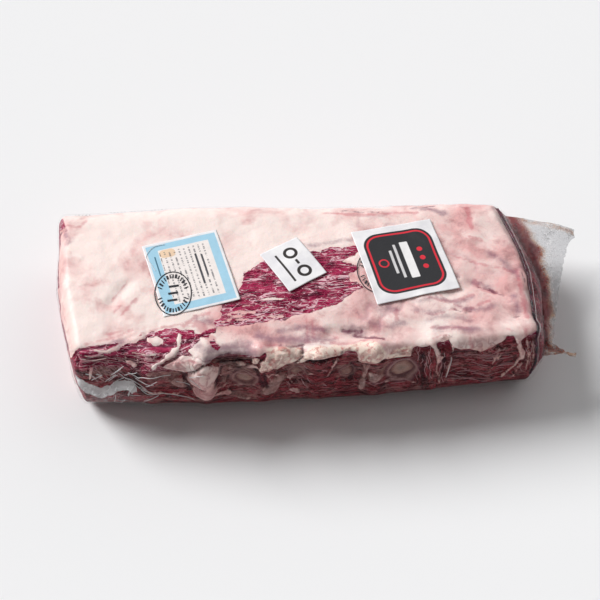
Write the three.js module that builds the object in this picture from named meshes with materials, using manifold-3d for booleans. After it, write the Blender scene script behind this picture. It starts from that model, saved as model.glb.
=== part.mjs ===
// A whole boneless beef rib roast, raw, in a clear vacuum bag that holds it tight.
// It lies on its flat underside with the fat side up and the rib side to the front.
// The bag stands out past the right end as a loose sealed flap with a small twisted ear.
// Three paper labels lie on the fat side.
//
// Millimetres. X runs along the roast, Y from the rib side to the back, Z up.
// The origin is the middle of the base of the whole object's box.

import * as THREE from "three";
import { mergeVertices } from "three/addons/utils/BufferGeometryUtils.js";
import Module from "manifold-3d";

const wasm = await Module();
wasm.setup();

const { clamp, smoothstep, degToRad, lerp } = THREE.MathUtils;

// Driving dimensions of the roast
const ROAST = { length: 416, width: 182, height: 87, crown: 5 };
const HALF = { x: ROAST.length / 2, y: ROAST.width / 2, z: ROAST.height / 2 };
const RADIUS = { backTop: 30, backBottom: 34, frontTop: 20, frontBottom: 34, end: 13 };
const CELLS = { x: 50, y: 21, z: 12 };

// How the hand-cut roast departs from a plain block
const SHAPE = {
  frontTaperLeft: 5, // the rib side draws in towards the left end
  frontTaperRight: 14, // and more towards the right end
  backTaper: 4,
  backRightCut: 20, // the corner cut back behind the right end
  backLeftHorn: 7, // the corner that the bag pulls out at the left
  frontLeftCut: 14,
  heightFall: 0.05, // share of the height lost at the right end
  endBulgeBack: 14, // the right end swells out under its rim, most at the back
  endBulgeFront: 5,
  endBulgeHeight: 42,
};

// Slow swells of the fat cover
const SWELL = { rise: 1.5, alongX: 34, alongY: 29 };

// The rib side: a hollow where each rib was drawn, a pillar of meat between two of them
const RIBS = { count: 7, first: -151, pitch: 48, height: 53, hollow: -4.5, reach: 15, pillar: 2.6 };

// Lumps (rise over 0) and folds (under 0) that lie along a line from a to b
const LUMPS = [
  { what: "ridge of fat, left", a: [-31, -81, 85], b: [17, -87, 80], reach: 9, rise: 4 },
  { what: "ridge of fat, middle", a: [17, -87, 80], b: [68, -80, 83], reach: 10, rise: 4.5 },
  { what: "ridge of fat, right", a: [68, -80, 83], b: [132, -78, 80], reach: 9, rise: 3 },
  { what: "ridge of fat, end", a: [132, -78, 80], b: [198, -66, 82], reach: 11, rise: 3.5 },
  { what: "finger of fat", a: [-29, -91, 68], b: [-14, -83, 84], reach: 6, rise: 4 },
  { what: "nodule of fat", a: [-82, -91, 66], b: [-80, -91, 48], reach: 12, rise: 7 },
  { what: "lobe of fat", a: [-122, -86, 78], b: [-86, -87, 79], reach: 9, rise: 4 },
  { what: "lobe under it", a: [-127, -88, 64], b: [-106, -90, 52], reach: 10, rise: 3.5 },
  { what: "fold over the rib side, left", a: [-190, -75, 80], b: [-132, -80, 78], reach: 8, rise: -3 },
  { what: "fold by the lobe", a: [-62, -88, 74], b: [-38, -88, 72], reach: 8, rise: -4 },
  { what: "groove behind the ridge", a: [28, -66, 88], b: [74, -70, 87], reach: 7, rise: -2.2 },
  { what: "slit in the fat, right", a: [152, -16, 87], b: [180, -32, 86], reach: 7, rise: -2 },
  { what: "slit in the fat, left", a: [-158, -28, 90], b: [-143, -8, 91], reach: 6, rise: -1.6 },
  { what: "cinch under the right rim", a: [203, 50, 74], b: [204, -50, 76], reach: 7, rise: -3 },
];

// The loose flap: it leaves the right end at mid height, widest at the back
const FLAP = {
  rootX: 196,
  backY: 88,
  frontY: -54,
  height: 47,
  reachBack: 66, // from rootX
  reachFront: 27,
  droop: 11,
  wave: 2.6,
  waves: 3.2,
  thick: 2.4,
  cells: { x: 7, y: 20 },
};

// The twisted ear at the flap's front end
const EAR = { root: [192, -50, 44], tip: [240, -66, 37], width: 15, thick: 4, turn: 150, cells: 9 };

// Labels: middle on the fat side, width along the roast, length across it, turn about Z
const LABELS = [
  { name: "product_label", x: -89.7, y: 1.3, width: 67, length: 80, turn: 14 },
  { name: "grade_label", x: -1.2, y: 5.9, width: 38, length: 48, turn: 30 },
  { name: "maker_label", x: 95.7, y: 7.8, width: 74, length: 83, turn: 12.5 },
];
const LABEL = { thick: 0.5, gap: 0.35, cellsX: 8, cellsY: 9 };

const LOOKS = {
  beef: { color: "#e2b4ad", roughness: 0.35, metalness: 0 },
  paper: { color: "#f0eee9", roughness: 0.6, metalness: 0 },
};

// A point of the plain block, with its edges rounded, and the way that its surface faces there
function roundBlock(box) {
  const back = box.y > 0;
  const top = box.z > 0;
  const r = back
    ? (top ? RADIUS.backTop : RADIUS.backBottom)
    : (top ? RADIUS.frontTop : RADIUS.frontBottom);
  const core = new THREE.Vector3(
    clamp(box.x, -(HALF.x - RADIUS.end), HALF.x - RADIUS.end),
    clamp(box.y, -(HALF.y - r), HALF.y - r),
    clamp(box.z, -(HALF.z - r), HALF.z - r),
  );
  const facing = box.clone().sub(core).divide(new THREE.Vector3(RADIUS.end, r, r)).normalize();
  const point = facing.clone().multiply(new THREE.Vector3(RADIUS.end, r, r)).add(core);
  point.z += HALF.z;
  return { point, facing };
}

// Draws the rounded block into the roast's own plan, taper and crown
function shapeRoast(p) {
  const along = p.x / HALF.x;
  const front = clamp(-p.y / HALF.y, 0, 1);
  const back = clamp(p.y / HALF.y, 0, 1);
  const up = clamp(p.z / ROAST.height, 0, 1);
  const across = clamp(p.y / HALF.y, -1, 1);
  const rightEnd = smoothstep(along, 0.75, 1);
  const leftEnd = smoothstep(-along, 0.75, 1);

  p.y += front * SHAPE.frontTaperLeft * smoothstep(-along, 0.3, 1);
  p.y += front * SHAPE.frontTaperRight * smoothstep(along, 0.1, 1);
  p.y -= back * SHAPE.backTaper * smoothstep(along, -0.5, 1);
  p.x -= SHAPE.backRightCut * smoothstep(across, -0.1, 1) * smoothstep(along, 0.5, 1);
  p.x += SHAPE.frontLeftCut * smoothstep(-across, -0.3, 1) * smoothstep(-along, 0.6, 1);
  p.x -= SHAPE.backLeftHorn * smoothstep(across, 0.5, 1) * leftEnd * up;
  const bulge = lerp(SHAPE.endBulgeFront, SHAPE.endBulgeBack, (across + 1) / 2);
  const fromBulge = (p.z - SHAPE.endBulgeHeight) / SHAPE.endBulgeHeight;
  p.x += bulge * rightEnd * Math.max(0, 1 - fromBulge * fromBulge);
  p.z *= 1 - SHAPE.heightFall * smoothstep(along, -0.2, 1);
  p.z += up * ROAST.crown * (1 - across * across) * (1 - along ** 4);
  return p;
}

// How near a point is to a line, from 1 on it to 0 at the reach
function nearness(point, lump) {
  const a = new THREE.Vector3(...lump.a);
  const line = new THREE.Line3(a, new THREE.Vector3(...lump.b));
  const closest = line.closestPointToPoint(point, true, new THREE.Vector3());
  const away = closest.distanceTo(point) / lump.reach;
  return Math.exp(-away * away);
}

function ribRelief(point) {
  const side = smoothstep(-point.y, HALF.y * 0.72, HALF.y * 0.92);
  let rise = 0;
  for (let rib = 0; rib < RIBS.count; rib++) {
    const x = RIBS.first + rib * RIBS.pitch;
    const away = Math.hypot(point.x - x, 0.8 * (point.z - RIBS.height)) / RIBS.reach;
    rise += RIBS.hollow * Math.exp(-away * away);
    const fromPillar = (point.x - x - RIBS.pitch / 2) / (RIBS.reach * 0.5);
    rise += RIBS.pillar * Math.exp(-fromPillar * fromPillar);
  }
  return rise * side;
}

// A point on the finished roast, from a point of the plain block
function roastPoint(box, lift = 0) {
  const { point, facing } = roundBlock(box);
  const at = shapeRoast(point.clone());
  const offFloor = smoothstep(at.z, 3, 26);
  let rise = SWELL.rise * Math.sin(at.x / SWELL.alongX + 0.6) * Math.cos(at.y / SWELL.alongY);
  rise += ribRelief(at);
  for (const lump of LUMPS) rise += lump.rise * nearness(at, lump);
  return at.addScaledVector(facing, rise * offFloor + lift);
}

// Moves every vertex of a geometry by a function, and leaves only what makes the solid
function reshape(geometry, move) {
  const bare = geometry.clone();
  bare.deleteAttribute("uv");
  bare.deleteAttribute("normal");
  const solid = mergeVertices(bare, 1e-4);
  const place = solid.getAttribute("position");
  const v = new THREE.Vector3();
  for (let i = 0; i < place.count; i++) {
    const moved = move(v.fromBufferAttribute(place, i).clone());
    place.setXYZ(i, moved.x, moved.y, moved.z);
  }
  return solid;
}

function roastGeometry() {
  const block = new THREE.BoxGeometry(
    ROAST.length, ROAST.width, ROAST.height, CELLS.x, CELLS.y, CELLS.z,
  );
  return reshape(block, (box) => roastPoint(box));
}

// The flap is two plies of film sealed together: a thin waved sheet
function flapGeometry() {
  const sheet = new THREE.BoxGeometry(1, 1, FLAP.thick, FLAP.cells.x, FLAP.cells.y, 1);
  return reshape(sheet, (p) => {
    const out = p.x + 0.5;
    const toFront = 0.5 - p.y;
    const reach = lerp(FLAP.reachBack, FLAP.reachFront, toFront ** 0.8);
    const wave = FLAP.wave * Math.sin(toFront * FLAP.waves * 2 * Math.PI + 2 * out) * out;
    const x = FLAP.rootX + out * reach;
    const y = lerp(FLAP.backY, FLAP.frontY, toFront) - 13 * out * (1 - toFront) ** 2;
    const z = FLAP.height - FLAP.droop * out * out + wave + p.z;
    return new THREE.Vector3(x, y, z);
  });
}

// The ear is a strip that turns about its own line and narrows to its tip
function earGeometry() {
  const strip = new THREE.BoxGeometry(1, EAR.width, EAR.thick, EAR.cells, 3, 1);
  const root = new THREE.Vector3(...EAR.root);
  const tip = new THREE.Vector3(...EAR.tip);
  const direction = tip.clone().sub(root);
  const heading = Math.atan2(direction.y, direction.x);
  return reshape(strip, (p) => {
    const out = p.x + 0.5;
    const narrow = 1 - 0.6 * out;
    const section = new THREE.Vector3(0, p.y * narrow, p.z * narrow)
      .applyAxisAngle(new THREE.Vector3(1, 0, 0), degToRad(EAR.turn) * out)
      .applyAxisAngle(new THREE.Vector3(0, 0, 1), heading);
    return root.clone().addScaledVector(direction, out).add(section);
  });
}

function toSolid(geometry) {
  return new wasm.Manifold(new wasm.Mesh({
    numProp: 3,
    vertProperties: new Float32Array(geometry.getAttribute("position").array),
    triVerts: new Uint32Array(geometry.index.array),
  }));
}

function toGeometry(solid) {
  const mesh = solid.getMesh();
  const geometry = new THREE.BufferGeometry();
  geometry.setAttribute("position", new THREE.BufferAttribute(mesh.vertProperties, 3));
  geometry.setIndex(new THREE.BufferAttribute(mesh.triVerts, 1));
  geometry.computeVertexNormals();
  return geometry;
}

// The tight bag with the roast in it, its flap and its ear are one closed solid
function bagGeometry() {
  const joined = toSolid(roastGeometry()).add(toSolid(flapGeometry())).add(toSolid(earGeometry()));
  return toGeometry(joined);
}

// A label is a thin plate that follows the fat side
function labelGeometry(label) {
  const plate = new THREE.BoxGeometry(
    label.width, label.length, LABEL.thick, LABEL.cellsX, LABEL.cellsY, 1,
  );
  const turn = degToRad(label.turn);
  return reshape(plate, (p) => {
    const lift = LABEL.gap + LABEL.thick / 2 + p.z;
    const on = new THREE.Vector3(p.x, p.y, 0).applyAxisAngle(new THREE.Vector3(0, 0, 1), turn);
    return roastPoint(new THREE.Vector3(on.x + label.x, on.y + label.y, HALF.z), lift);
  });
}

function piece(name, geometry, look) {
  const mesh = new THREE.Mesh(geometry, new THREE.MeshStandardMaterial(look));
  mesh.name = name;
  return mesh;
}

const pack = new THREE.Group();
pack.add(piece("vacuum_bag", bagGeometry(), LOOKS.beef));
for (const label of LABELS) {
  pack.add(piece(label.name, labelGeometry(label), LOOKS.paper));
}

// Puts the origin in the middle of the box's base
const box = new THREE.Box3().setFromObject(pack);
const middle = box.getCenter(new THREE.Vector3());
pack.position.set(-middle.x, -middle.y, -box.min.z);

export default pack;
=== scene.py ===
# A raw boneless beef rib roast in a clear vacuum bag with three paper labels.
# Sizes are millimetres in the roast's own block coordinates: X along it from its middle,
# Y from the rib side to the back, Z up. toFrame() turns them into the frame's metres.

import math
import random
from functools import partial

import bpy
import numpy as np
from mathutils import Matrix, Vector, noise


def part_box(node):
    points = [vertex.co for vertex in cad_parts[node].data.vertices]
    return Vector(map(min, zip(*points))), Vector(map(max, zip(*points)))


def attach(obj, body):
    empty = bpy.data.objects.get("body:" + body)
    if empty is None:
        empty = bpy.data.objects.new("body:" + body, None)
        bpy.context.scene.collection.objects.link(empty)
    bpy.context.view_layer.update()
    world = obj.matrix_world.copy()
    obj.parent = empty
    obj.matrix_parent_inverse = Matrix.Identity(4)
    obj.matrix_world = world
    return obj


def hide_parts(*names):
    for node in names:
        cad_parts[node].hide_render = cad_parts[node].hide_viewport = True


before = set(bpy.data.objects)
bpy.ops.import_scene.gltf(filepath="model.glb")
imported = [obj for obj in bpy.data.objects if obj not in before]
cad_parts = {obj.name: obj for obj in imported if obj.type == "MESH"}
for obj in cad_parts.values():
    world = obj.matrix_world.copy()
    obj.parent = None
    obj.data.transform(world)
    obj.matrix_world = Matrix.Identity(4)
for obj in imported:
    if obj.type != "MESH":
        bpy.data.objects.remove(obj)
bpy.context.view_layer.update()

# The roast, as its source gives it
roast = {
    "length": 416, "width": 182, "height": 87, "crown": 5,
    "radius": {"backTop": 30, "backBottom": 34, "frontTop": 20, "frontBottom": 34, "end": 13},
    "frontTaperLeft": 5, "frontTaperRight": 14, "backTaper": 4,
    "backRightCut": 20, "backLeftHorn": 7, "frontLeftCut": 14, "heightFall": 0.05,
    "endBulgeBack": 14, "endBulgeFront": 5, "endBulgeHeight": 42,
    "swell": 1.5, "swellAlongX": 34, "swellAlongY": 29,
}
half = np.array([roast["length"], roast["width"], roast["height"]]) / 2

# The rib side: a hollow where each rib was drawn and a pillar of meat between two of them
ribs = {"count": 7, "first": -151, "pitch": 48, "height": 53, "hollow": -4.5, "reach": 15, "pillar": 2.6}

# Lumps and folds that the solid has too: from, to, reach, rise
lumps = [
    ((-31, -81, 85), (17, -87, 80), 9, 4),         # ridge of fat along the rib side
    ((17, -87, 80), (68, -80, 83), 10, 4.5),
    ((68, -80, 83), (132, -78, 80), 9, 3),
    ((132, -78, 80), (198, -66, 82), 11, 3.5),
    ((-29, -91, 68), (-14, -83, 84), 6, 4),        # finger of fat
    ((-82, -91, 66), (-80, -91, 48), 12, 7),       # nodule of fat
    ((-122, -86, 78), (-86, -87, 79), 9, 4),       # lobe of fat and the one under it
    ((-127, -88, 64), (-106, -90, 52), 10, 3.5),
    ((-190, -75, 80), (-132, -80, 78), 8, -3),     # folds over the rib side
    ((-62, -88, 74), (-38, -88, 72), 8, -4),
    ((28, -66, 88), (74, -70, 87), 7, -2.2),
    ((152, -16, 87), (180, -32, 86), 7, -2),       # slits in the fat
    ((-158, -28, 90), (-143, -8, 91), 6, -1.6),
    ((203, 50, 74), (204, -50, 76), 7, -3),        # cinch under the right rim
]

flap = {
    "rootX": 196, "backY": 88, "frontY": -54, "height": 47,
    "reachBack": 66, "reachFront": 27, "droop": 11, "wave": 2.6, "waves": 3.2, "backPull": 13,
    "ragged": (0.06, 0.03), "sealAt": 0.62, "sealWide": 0.09,
    # The rim from which the juice spreads, seen from above
    "juiceY": (-60, -20, 10, 50, 75, 92), "juiceX": (208, 213, 215, 211, 204, 195),
}
ear = {"root": (192, -50, 44), "tip": (240, -66, 37), "width": 15, "turn": 150, "spare": 1.5,
       "crumpled": 46, "thick": 0.5, "rise": 5}


def smooth(x, low, high):
    t = np.clip((x - low) / (high - low), 0, 1)
    return t * t * (3 - 2 * t)


far = 1e9             # further than anything on the part
outside = -60.0       # the value of a field well outside its tissue


# How far each point is from the straight stretch between a and b
def distanceToLine(points, a, b):
    a = np.array(a, float)
    line = np.array(b, float) - a
    along = np.clip((points - a) @ line / max(line @ line, 1e-9), 0, 1)
    return np.linalg.norm(points - a - along[:, None] * line, axis=1)


# Inside an outline the answer is how far it is to the edge, outside it is that distance below zero
def insideOutline(points, outline):
    corners = np.array(outline, float)
    inside = np.zeros(len(points), bool)
    nearest = np.full(len(points), far)
    for a, b in zip(corners, np.roll(corners, -1, axis=0)):
        nearest = np.minimum(nearest, distanceToLine(points, a, b))
        crosses = (a[1] > points[:, 1]) != (b[1] > points[:, 1])
        rise = b[1] - a[1] if b[1] != a[1] else 1e-9
        inside ^= crosses & (points[:, 0] < (b[0] - a[0]) * (points[:, 1] - a[1]) / rise + a[0])
    return np.where(inside, nearest, -nearest)


# Noise of about the given size in millimetres, from -1 to 1, one value for each point
def noiseAt(points, size, seed, stretch=(1, 1, 1)):
    scaled = points / (size * np.array(stretch)) + np.array([seed * 7.31, seed * 3.17, seed * 5.77])
    return np.array([noise.noise(Vector(p)) for p in scaled])


# The same for each seed, as the parts of a shift
def shake(points, size, *seeds):
    return np.stack([noiseAt(points, size, seed) for seed in seeds], axis=1)


# The squares of a box's surface, shared at their corners and facing outwards
def blockGrid(size, cells):
    squares = []
    for axis, (u, v) in enumerate(((1, 2), (2, 0), (0, 1))):
        i, j = np.meshgrid(np.arange(cells[u]), np.arange(cells[v]), indexing="ij")
        for end in (0, cells[axis]):
            ring = ((0, 0), (1, 0), (1, 1), (0, 1)) if end else ((0, 0), (0, 1), (1, 1), (1, 0))
            square = np.empty((i.size, 4, 3), int)
            for n, (du, dv) in enumerate(ring):
                square[:, n, axis] = end
                square[:, n, u] = i.ravel() + du
                square[:, n, v] = j.ravel() + dv
            squares.append(square)
    squares = np.concatenate(squares)
    steps = np.array(cells) + 1
    key = (squares[..., 0] * steps[1] + squares[..., 1]) * steps[2] + squares[..., 2]
    used, faces = np.unique(key, return_inverse=True)
    lattice = np.stack(np.unravel_index(used, steps), axis=-1)
    return (lattice / np.array(cells) - 0.5) * np.array(size), faces.reshape(-1, 4)


def roundBlock(box):
    r = roast["radius"]
    back, top = box[:, 1] > 0, box[:, 2] > 0
    side = np.where(back, np.where(top, r["backTop"], r["backBottom"]),
                    np.where(top, r["frontTop"], r["frontBottom"]))
    bend = np.stack([np.full(len(box), r["end"]), side, side], axis=1)
    core = np.clip(box, bend - half, half - bend)
    facing = (box - core) / bend
    facing /= np.linalg.norm(facing, axis=1, keepdims=True)
    point = core + facing * bend
    point[:, 2] += half[2]
    return point, facing


def shapeRoast(point):
    p = point.copy()
    along = p[:, 0] / half[0]
    across = np.clip(p[:, 1] / half[1], -1, 1)
    front, back = np.clip(-across, 0, 1), np.clip(across, 0, 1)
    up = np.clip(p[:, 2] / roast["height"], 0, 1)
    rightEnd, leftEnd = smooth(along, 0.75, 1), smooth(-along, 0.75, 1)
    p[:, 1] += front * roast["frontTaperLeft"] * smooth(-along, 0.3, 1)
    p[:, 1] += front * roast["frontTaperRight"] * smooth(along, 0.1, 1)
    p[:, 1] -= back * roast["backTaper"] * smooth(along, -0.5, 1)
    p[:, 0] -= roast["backRightCut"] * smooth(across, -0.1, 1) * smooth(along, 0.5, 1)
    p[:, 0] += roast["frontLeftCut"] * smooth(-across, -0.3, 1) * smooth(-along, 0.6, 1)
    p[:, 0] -= roast["backLeftHorn"] * smooth(across, 0.5, 1) * leftEnd * up
    swellsOut = roast["endBulgeFront"] + (roast["endBulgeBack"] - roast["endBulgeFront"]) * (across + 1) / 2
    fromBulge = (p[:, 2] - roast["endBulgeHeight"]) / roast["endBulgeHeight"]
    p[:, 0] += swellsOut * rightEnd * np.maximum(0, 1 - fromBulge ** 2)
    p[:, 2] *= 1 - roast["heightFall"] * smooth(along, -0.2, 1)
    p[:, 2] += up * roast["crown"] * (1 - across ** 2) * (1 - along ** 4)
    return p


def ribRelief(p):
    side = smooth(-p[:, 1], half[1] * 0.72, half[1] * 0.92)
    rise = np.zeros(len(p))
    for rib in range(ribs["count"]):
        x = ribs["first"] + rib * ribs["pitch"]
        away = np.hypot(p[:, 0] - x, 0.8 * (p[:, 2] - ribs["height"])) / ribs["reach"]
        rise += ribs["hollow"] * np.exp(-away ** 2)
        rise += ribs["pillar"] * np.exp(-((p[:, 0] - x - ribs["pitch"] / 2) / (ribs["reach"] * 0.5)) ** 2)
    return rise * side


# Surface points of the roast from points of the plain block. slack flattens the hollows, as taut film does
def roastPoint(box, lift=0.0, slack=0.0):
    point, facing = roundBlock(np.atleast_2d(np.array(box, float)))
    at = shapeRoast(point)
    offFloor = smooth(at[:, 2], 3, 26)
    relief = ribRelief(at)
    for a, b, reach, rise in lumps:
        relief += rise * np.exp(-(distanceToLine(at, a, b) / reach) ** 2)
    swell = roast["swell"] * np.sin(at[:, 0] / roast["swellAlongX"] + 0.6)
    relief += swell * np.cos(at[:, 1] / roast["swellAlongY"])
    soft = 1.1 * noiseAt(at, 24, 19) + 0.5 * noiseAt(at, 11, 20)
    relief += soft * (0.3 + 0.9 * smooth(at[:, 0], -40, 60)) * smooth(facing[:, 2], 0.3, 0.8)
    relief = np.where(relief < 0, relief * (1 - slack), relief)
    return at + facing * (relief * offFloor + lift)[:, None], facing, offFloor


def flapPoint(out, toFront, lift=0.0):
    reach = flap["reachBack"] + (flap["reachFront"] - flap["reachBack"]) * toFront ** 0.8
    wave = flap["wave"] * np.sin(toFront * flap["waves"] * 2 * math.pi + 2 * out) * out
    x = flap["rootX"] + out * reach
    y = flap["backY"] + (flap["frontY"] - flap["backY"]) * toFront
    y -= flap["backPull"] * out * (1 - toFront) ** 2
    return np.stack([x, y, flap["height"] - flap["droop"] * out ** 2 + wave + lift], axis=1)


# The block coordinates meet the frame at the bag's lowest corner: left end, rib side and base
def frameShift():
    body, _, _ = roastPoint(blockGrid(2 * half, (50, 21, 12))[0])
    low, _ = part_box("vacuum_bag")
    return np.array(low) * 1000 - body.min(axis=0)


shift = frameShift()


def toFrame(points):
    return (np.atleast_2d(points) + shift) / 1000


def linearColor(text, alpha=1.0):
    parts = [int(text[i:i + 2], 16) / 255 for i in (1, 3, 5)]
    return [c / 12.92 if c <= 0.04045 else ((c + 0.055) / 1.055) ** 2.4 for c in parts] + [alpha]


# Links a finished mesh into the scene, hangs it on the root body and hides the solid's parts that it stands
# for
def placePiece(name, mesh, slot, *nodes):
    piece = bpy.data.objects.new(name, mesh)
    bpy.context.scene.collection.objects.link(piece)
    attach(piece, "root")
    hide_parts(*nodes)


def addPiece(name, points, faces, material, slot, node, attributes=None, uv=None):
    mesh = bpy.data.meshes.new(name)
    mesh.from_pydata(toFrame(points).tolist(), [], [list(map(int, f)) for f in faces])
    for key, values in (attributes or {}).items():
        layer = mesh.attributes.new(key, "FLOAT", "POINT")
        layer.data.foreach_set("value", np.asarray(values, np.float32))
    if uv is not None:
        layer = mesh.uv_layers.new(name="UVMap")
        corner = np.zeros(len(mesh.loops), np.int32)
        mesh.loops.foreach_get("vertex_index", corner)
        layer.data.foreach_set("uv", np.asarray(uv, np.float32)[corner].ravel())
    mesh.shade_smooth()
    mesh.materials.append(material)
    placePiece(name, mesh, slot, node)


# A new material and the call that adds nodes to it
def newMaterial(name):
    material = bpy.data.materials.new(name)
    material.use_nodes = True
    material.node_tree.nodes.clear()
    return material, partial(addNode, material.node_tree)


# Adds a node. An input that is a node or a socket is linked, a hex colour or any other value is set; stops
# are a ramp's positions and colours
def addNode(tree, kind, inputs=None, stops=(), **settings):
    node = tree.nodes.new(kind if kind.startswith(("Geometry", "NodeGroup")) else "ShaderNode" + kind)
    for name, value in settings.items():
        setattr(node, name, value)
    for position, _ in stops[1:-1]:
        node.color_ramp.elements.new(position)
    for n, (position, tone) in enumerate(stops):
        node.color_ramp.elements[n].position = position
        node.color_ramp.elements[n].color = linearColor(tone)
    for key, value in (inputs or {}).items():
        if isinstance(value, bpy.types.Node):
            value = value.outputs[0]
        if isinstance(value, bpy.types.NodeSocket):
            tree.links.new(value, node.inputs[key])
        elif isinstance(value, str) and value.startswith("#"):
            node.inputs[key].default_value = linearColor(value)
        else:
            node.inputs[key].default_value = value
    return node


# The scale of a pattern whose features are this many millimetres long
def mm(size):
    return 1000 / size


# Tissue is placed on the unrolled surface: x along the roast, v over the top and down the front from
# the line at zeroY. The edge of the fat cover hangs at edgeV for each edgeX.
meat = {
    "cells": (270, 88, 60),
    "zeroY": -44,
    "inset": 0.9,             # the meat lies this far under the film
    "sunk": 1.5,              # and the rib side this much further
    "window": [(-68, -56), (-65.5, -34.5), (-47, -25), (-43.5, -1), (-27, 13), (16.5, 19), (32, 24),
               (60, 25), (52, 14), (38, 9), (55.5, 0), (45, -8), (57, -21), (35, -36), (2, -47),
               (-24, -53), (-48, -56.5)],
    "streaks": [(-207, 33), (-200, 30), (-185, 29), (-165, 28), (-148, 24), (-130, 18), (-120, 15),
                (-100, 13), (-87, 16), (-89, 20), (-80, 24), (-88, 32), (-93, 36), (-90, 41), (-97, 41.5),
                (-113, 55), (-125, 62), (-140, 138), (-218, 138), (-212, 40)],
    "corner": [(-226, -142), (-205, -138), (-201, -120), (-197, -104), (-204, -105), (-213, -112),
               (-228, -118)],
    # Seams of fat on the cut ends: across and up
    "seams": [[(-58, 70), (-50, 46), (-30, 26), (0, 18), (34, 22), (56, 40), (60, 62), (44, 72)],
              [(-50, 46), (-66, 34), (-80, 30)], [(0, 18), (8, 6)], [(56, 40), (74, 30)]],
    # Where the cut right end begins, seen from above
    "rimY": [-90, -60, -36, -10, 20, 50, 75, 92],
    "rimX": [201, 203, 203, 201, 197, 191, 184, 177],
    "edgeX": [-215, -190, -165, -150, -113, -96, -88, -76, -70, -62, -54, -46, -40, -33, -30, -14, 2, 4,
              5, 12, 22, 30, 35, 38, 43, 48, 50, 49.5, 54, 61, 68, 72, 75, 84, 93.5, 95, 97, 103, 110,
              114, 120, 127, 129, 134, 144.7, 153, 159, 166, 171, 174, 176, 179, 182, 183.7, 185, 187,
              190, 195, 200, 210],
    "edgeV": [31, 29, 28, 27, 56, 61, 59, 50, 44, 41, 40, 41, 44, 44, 40, 37, 36, 44, 50, 49.5, 48.5,
              47.5, 45, 41, 40.5, 43, 50, 57, 60.5, 60.5, 58.5, 54, 57, 57.5, 57, 46, 43, 43, 42, 40, 40,
              39, 48, 51, 54.4, 59, 55.6, 53, 48.5, 43.8, 39, 40, 40, 47, 54, 50, 44, 40, 36, 34],
}
meat["edgeX"], meat["edgeV"] = zip(*sorted(zip(meat["edgeX"], meat["edgeV"])))

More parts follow.
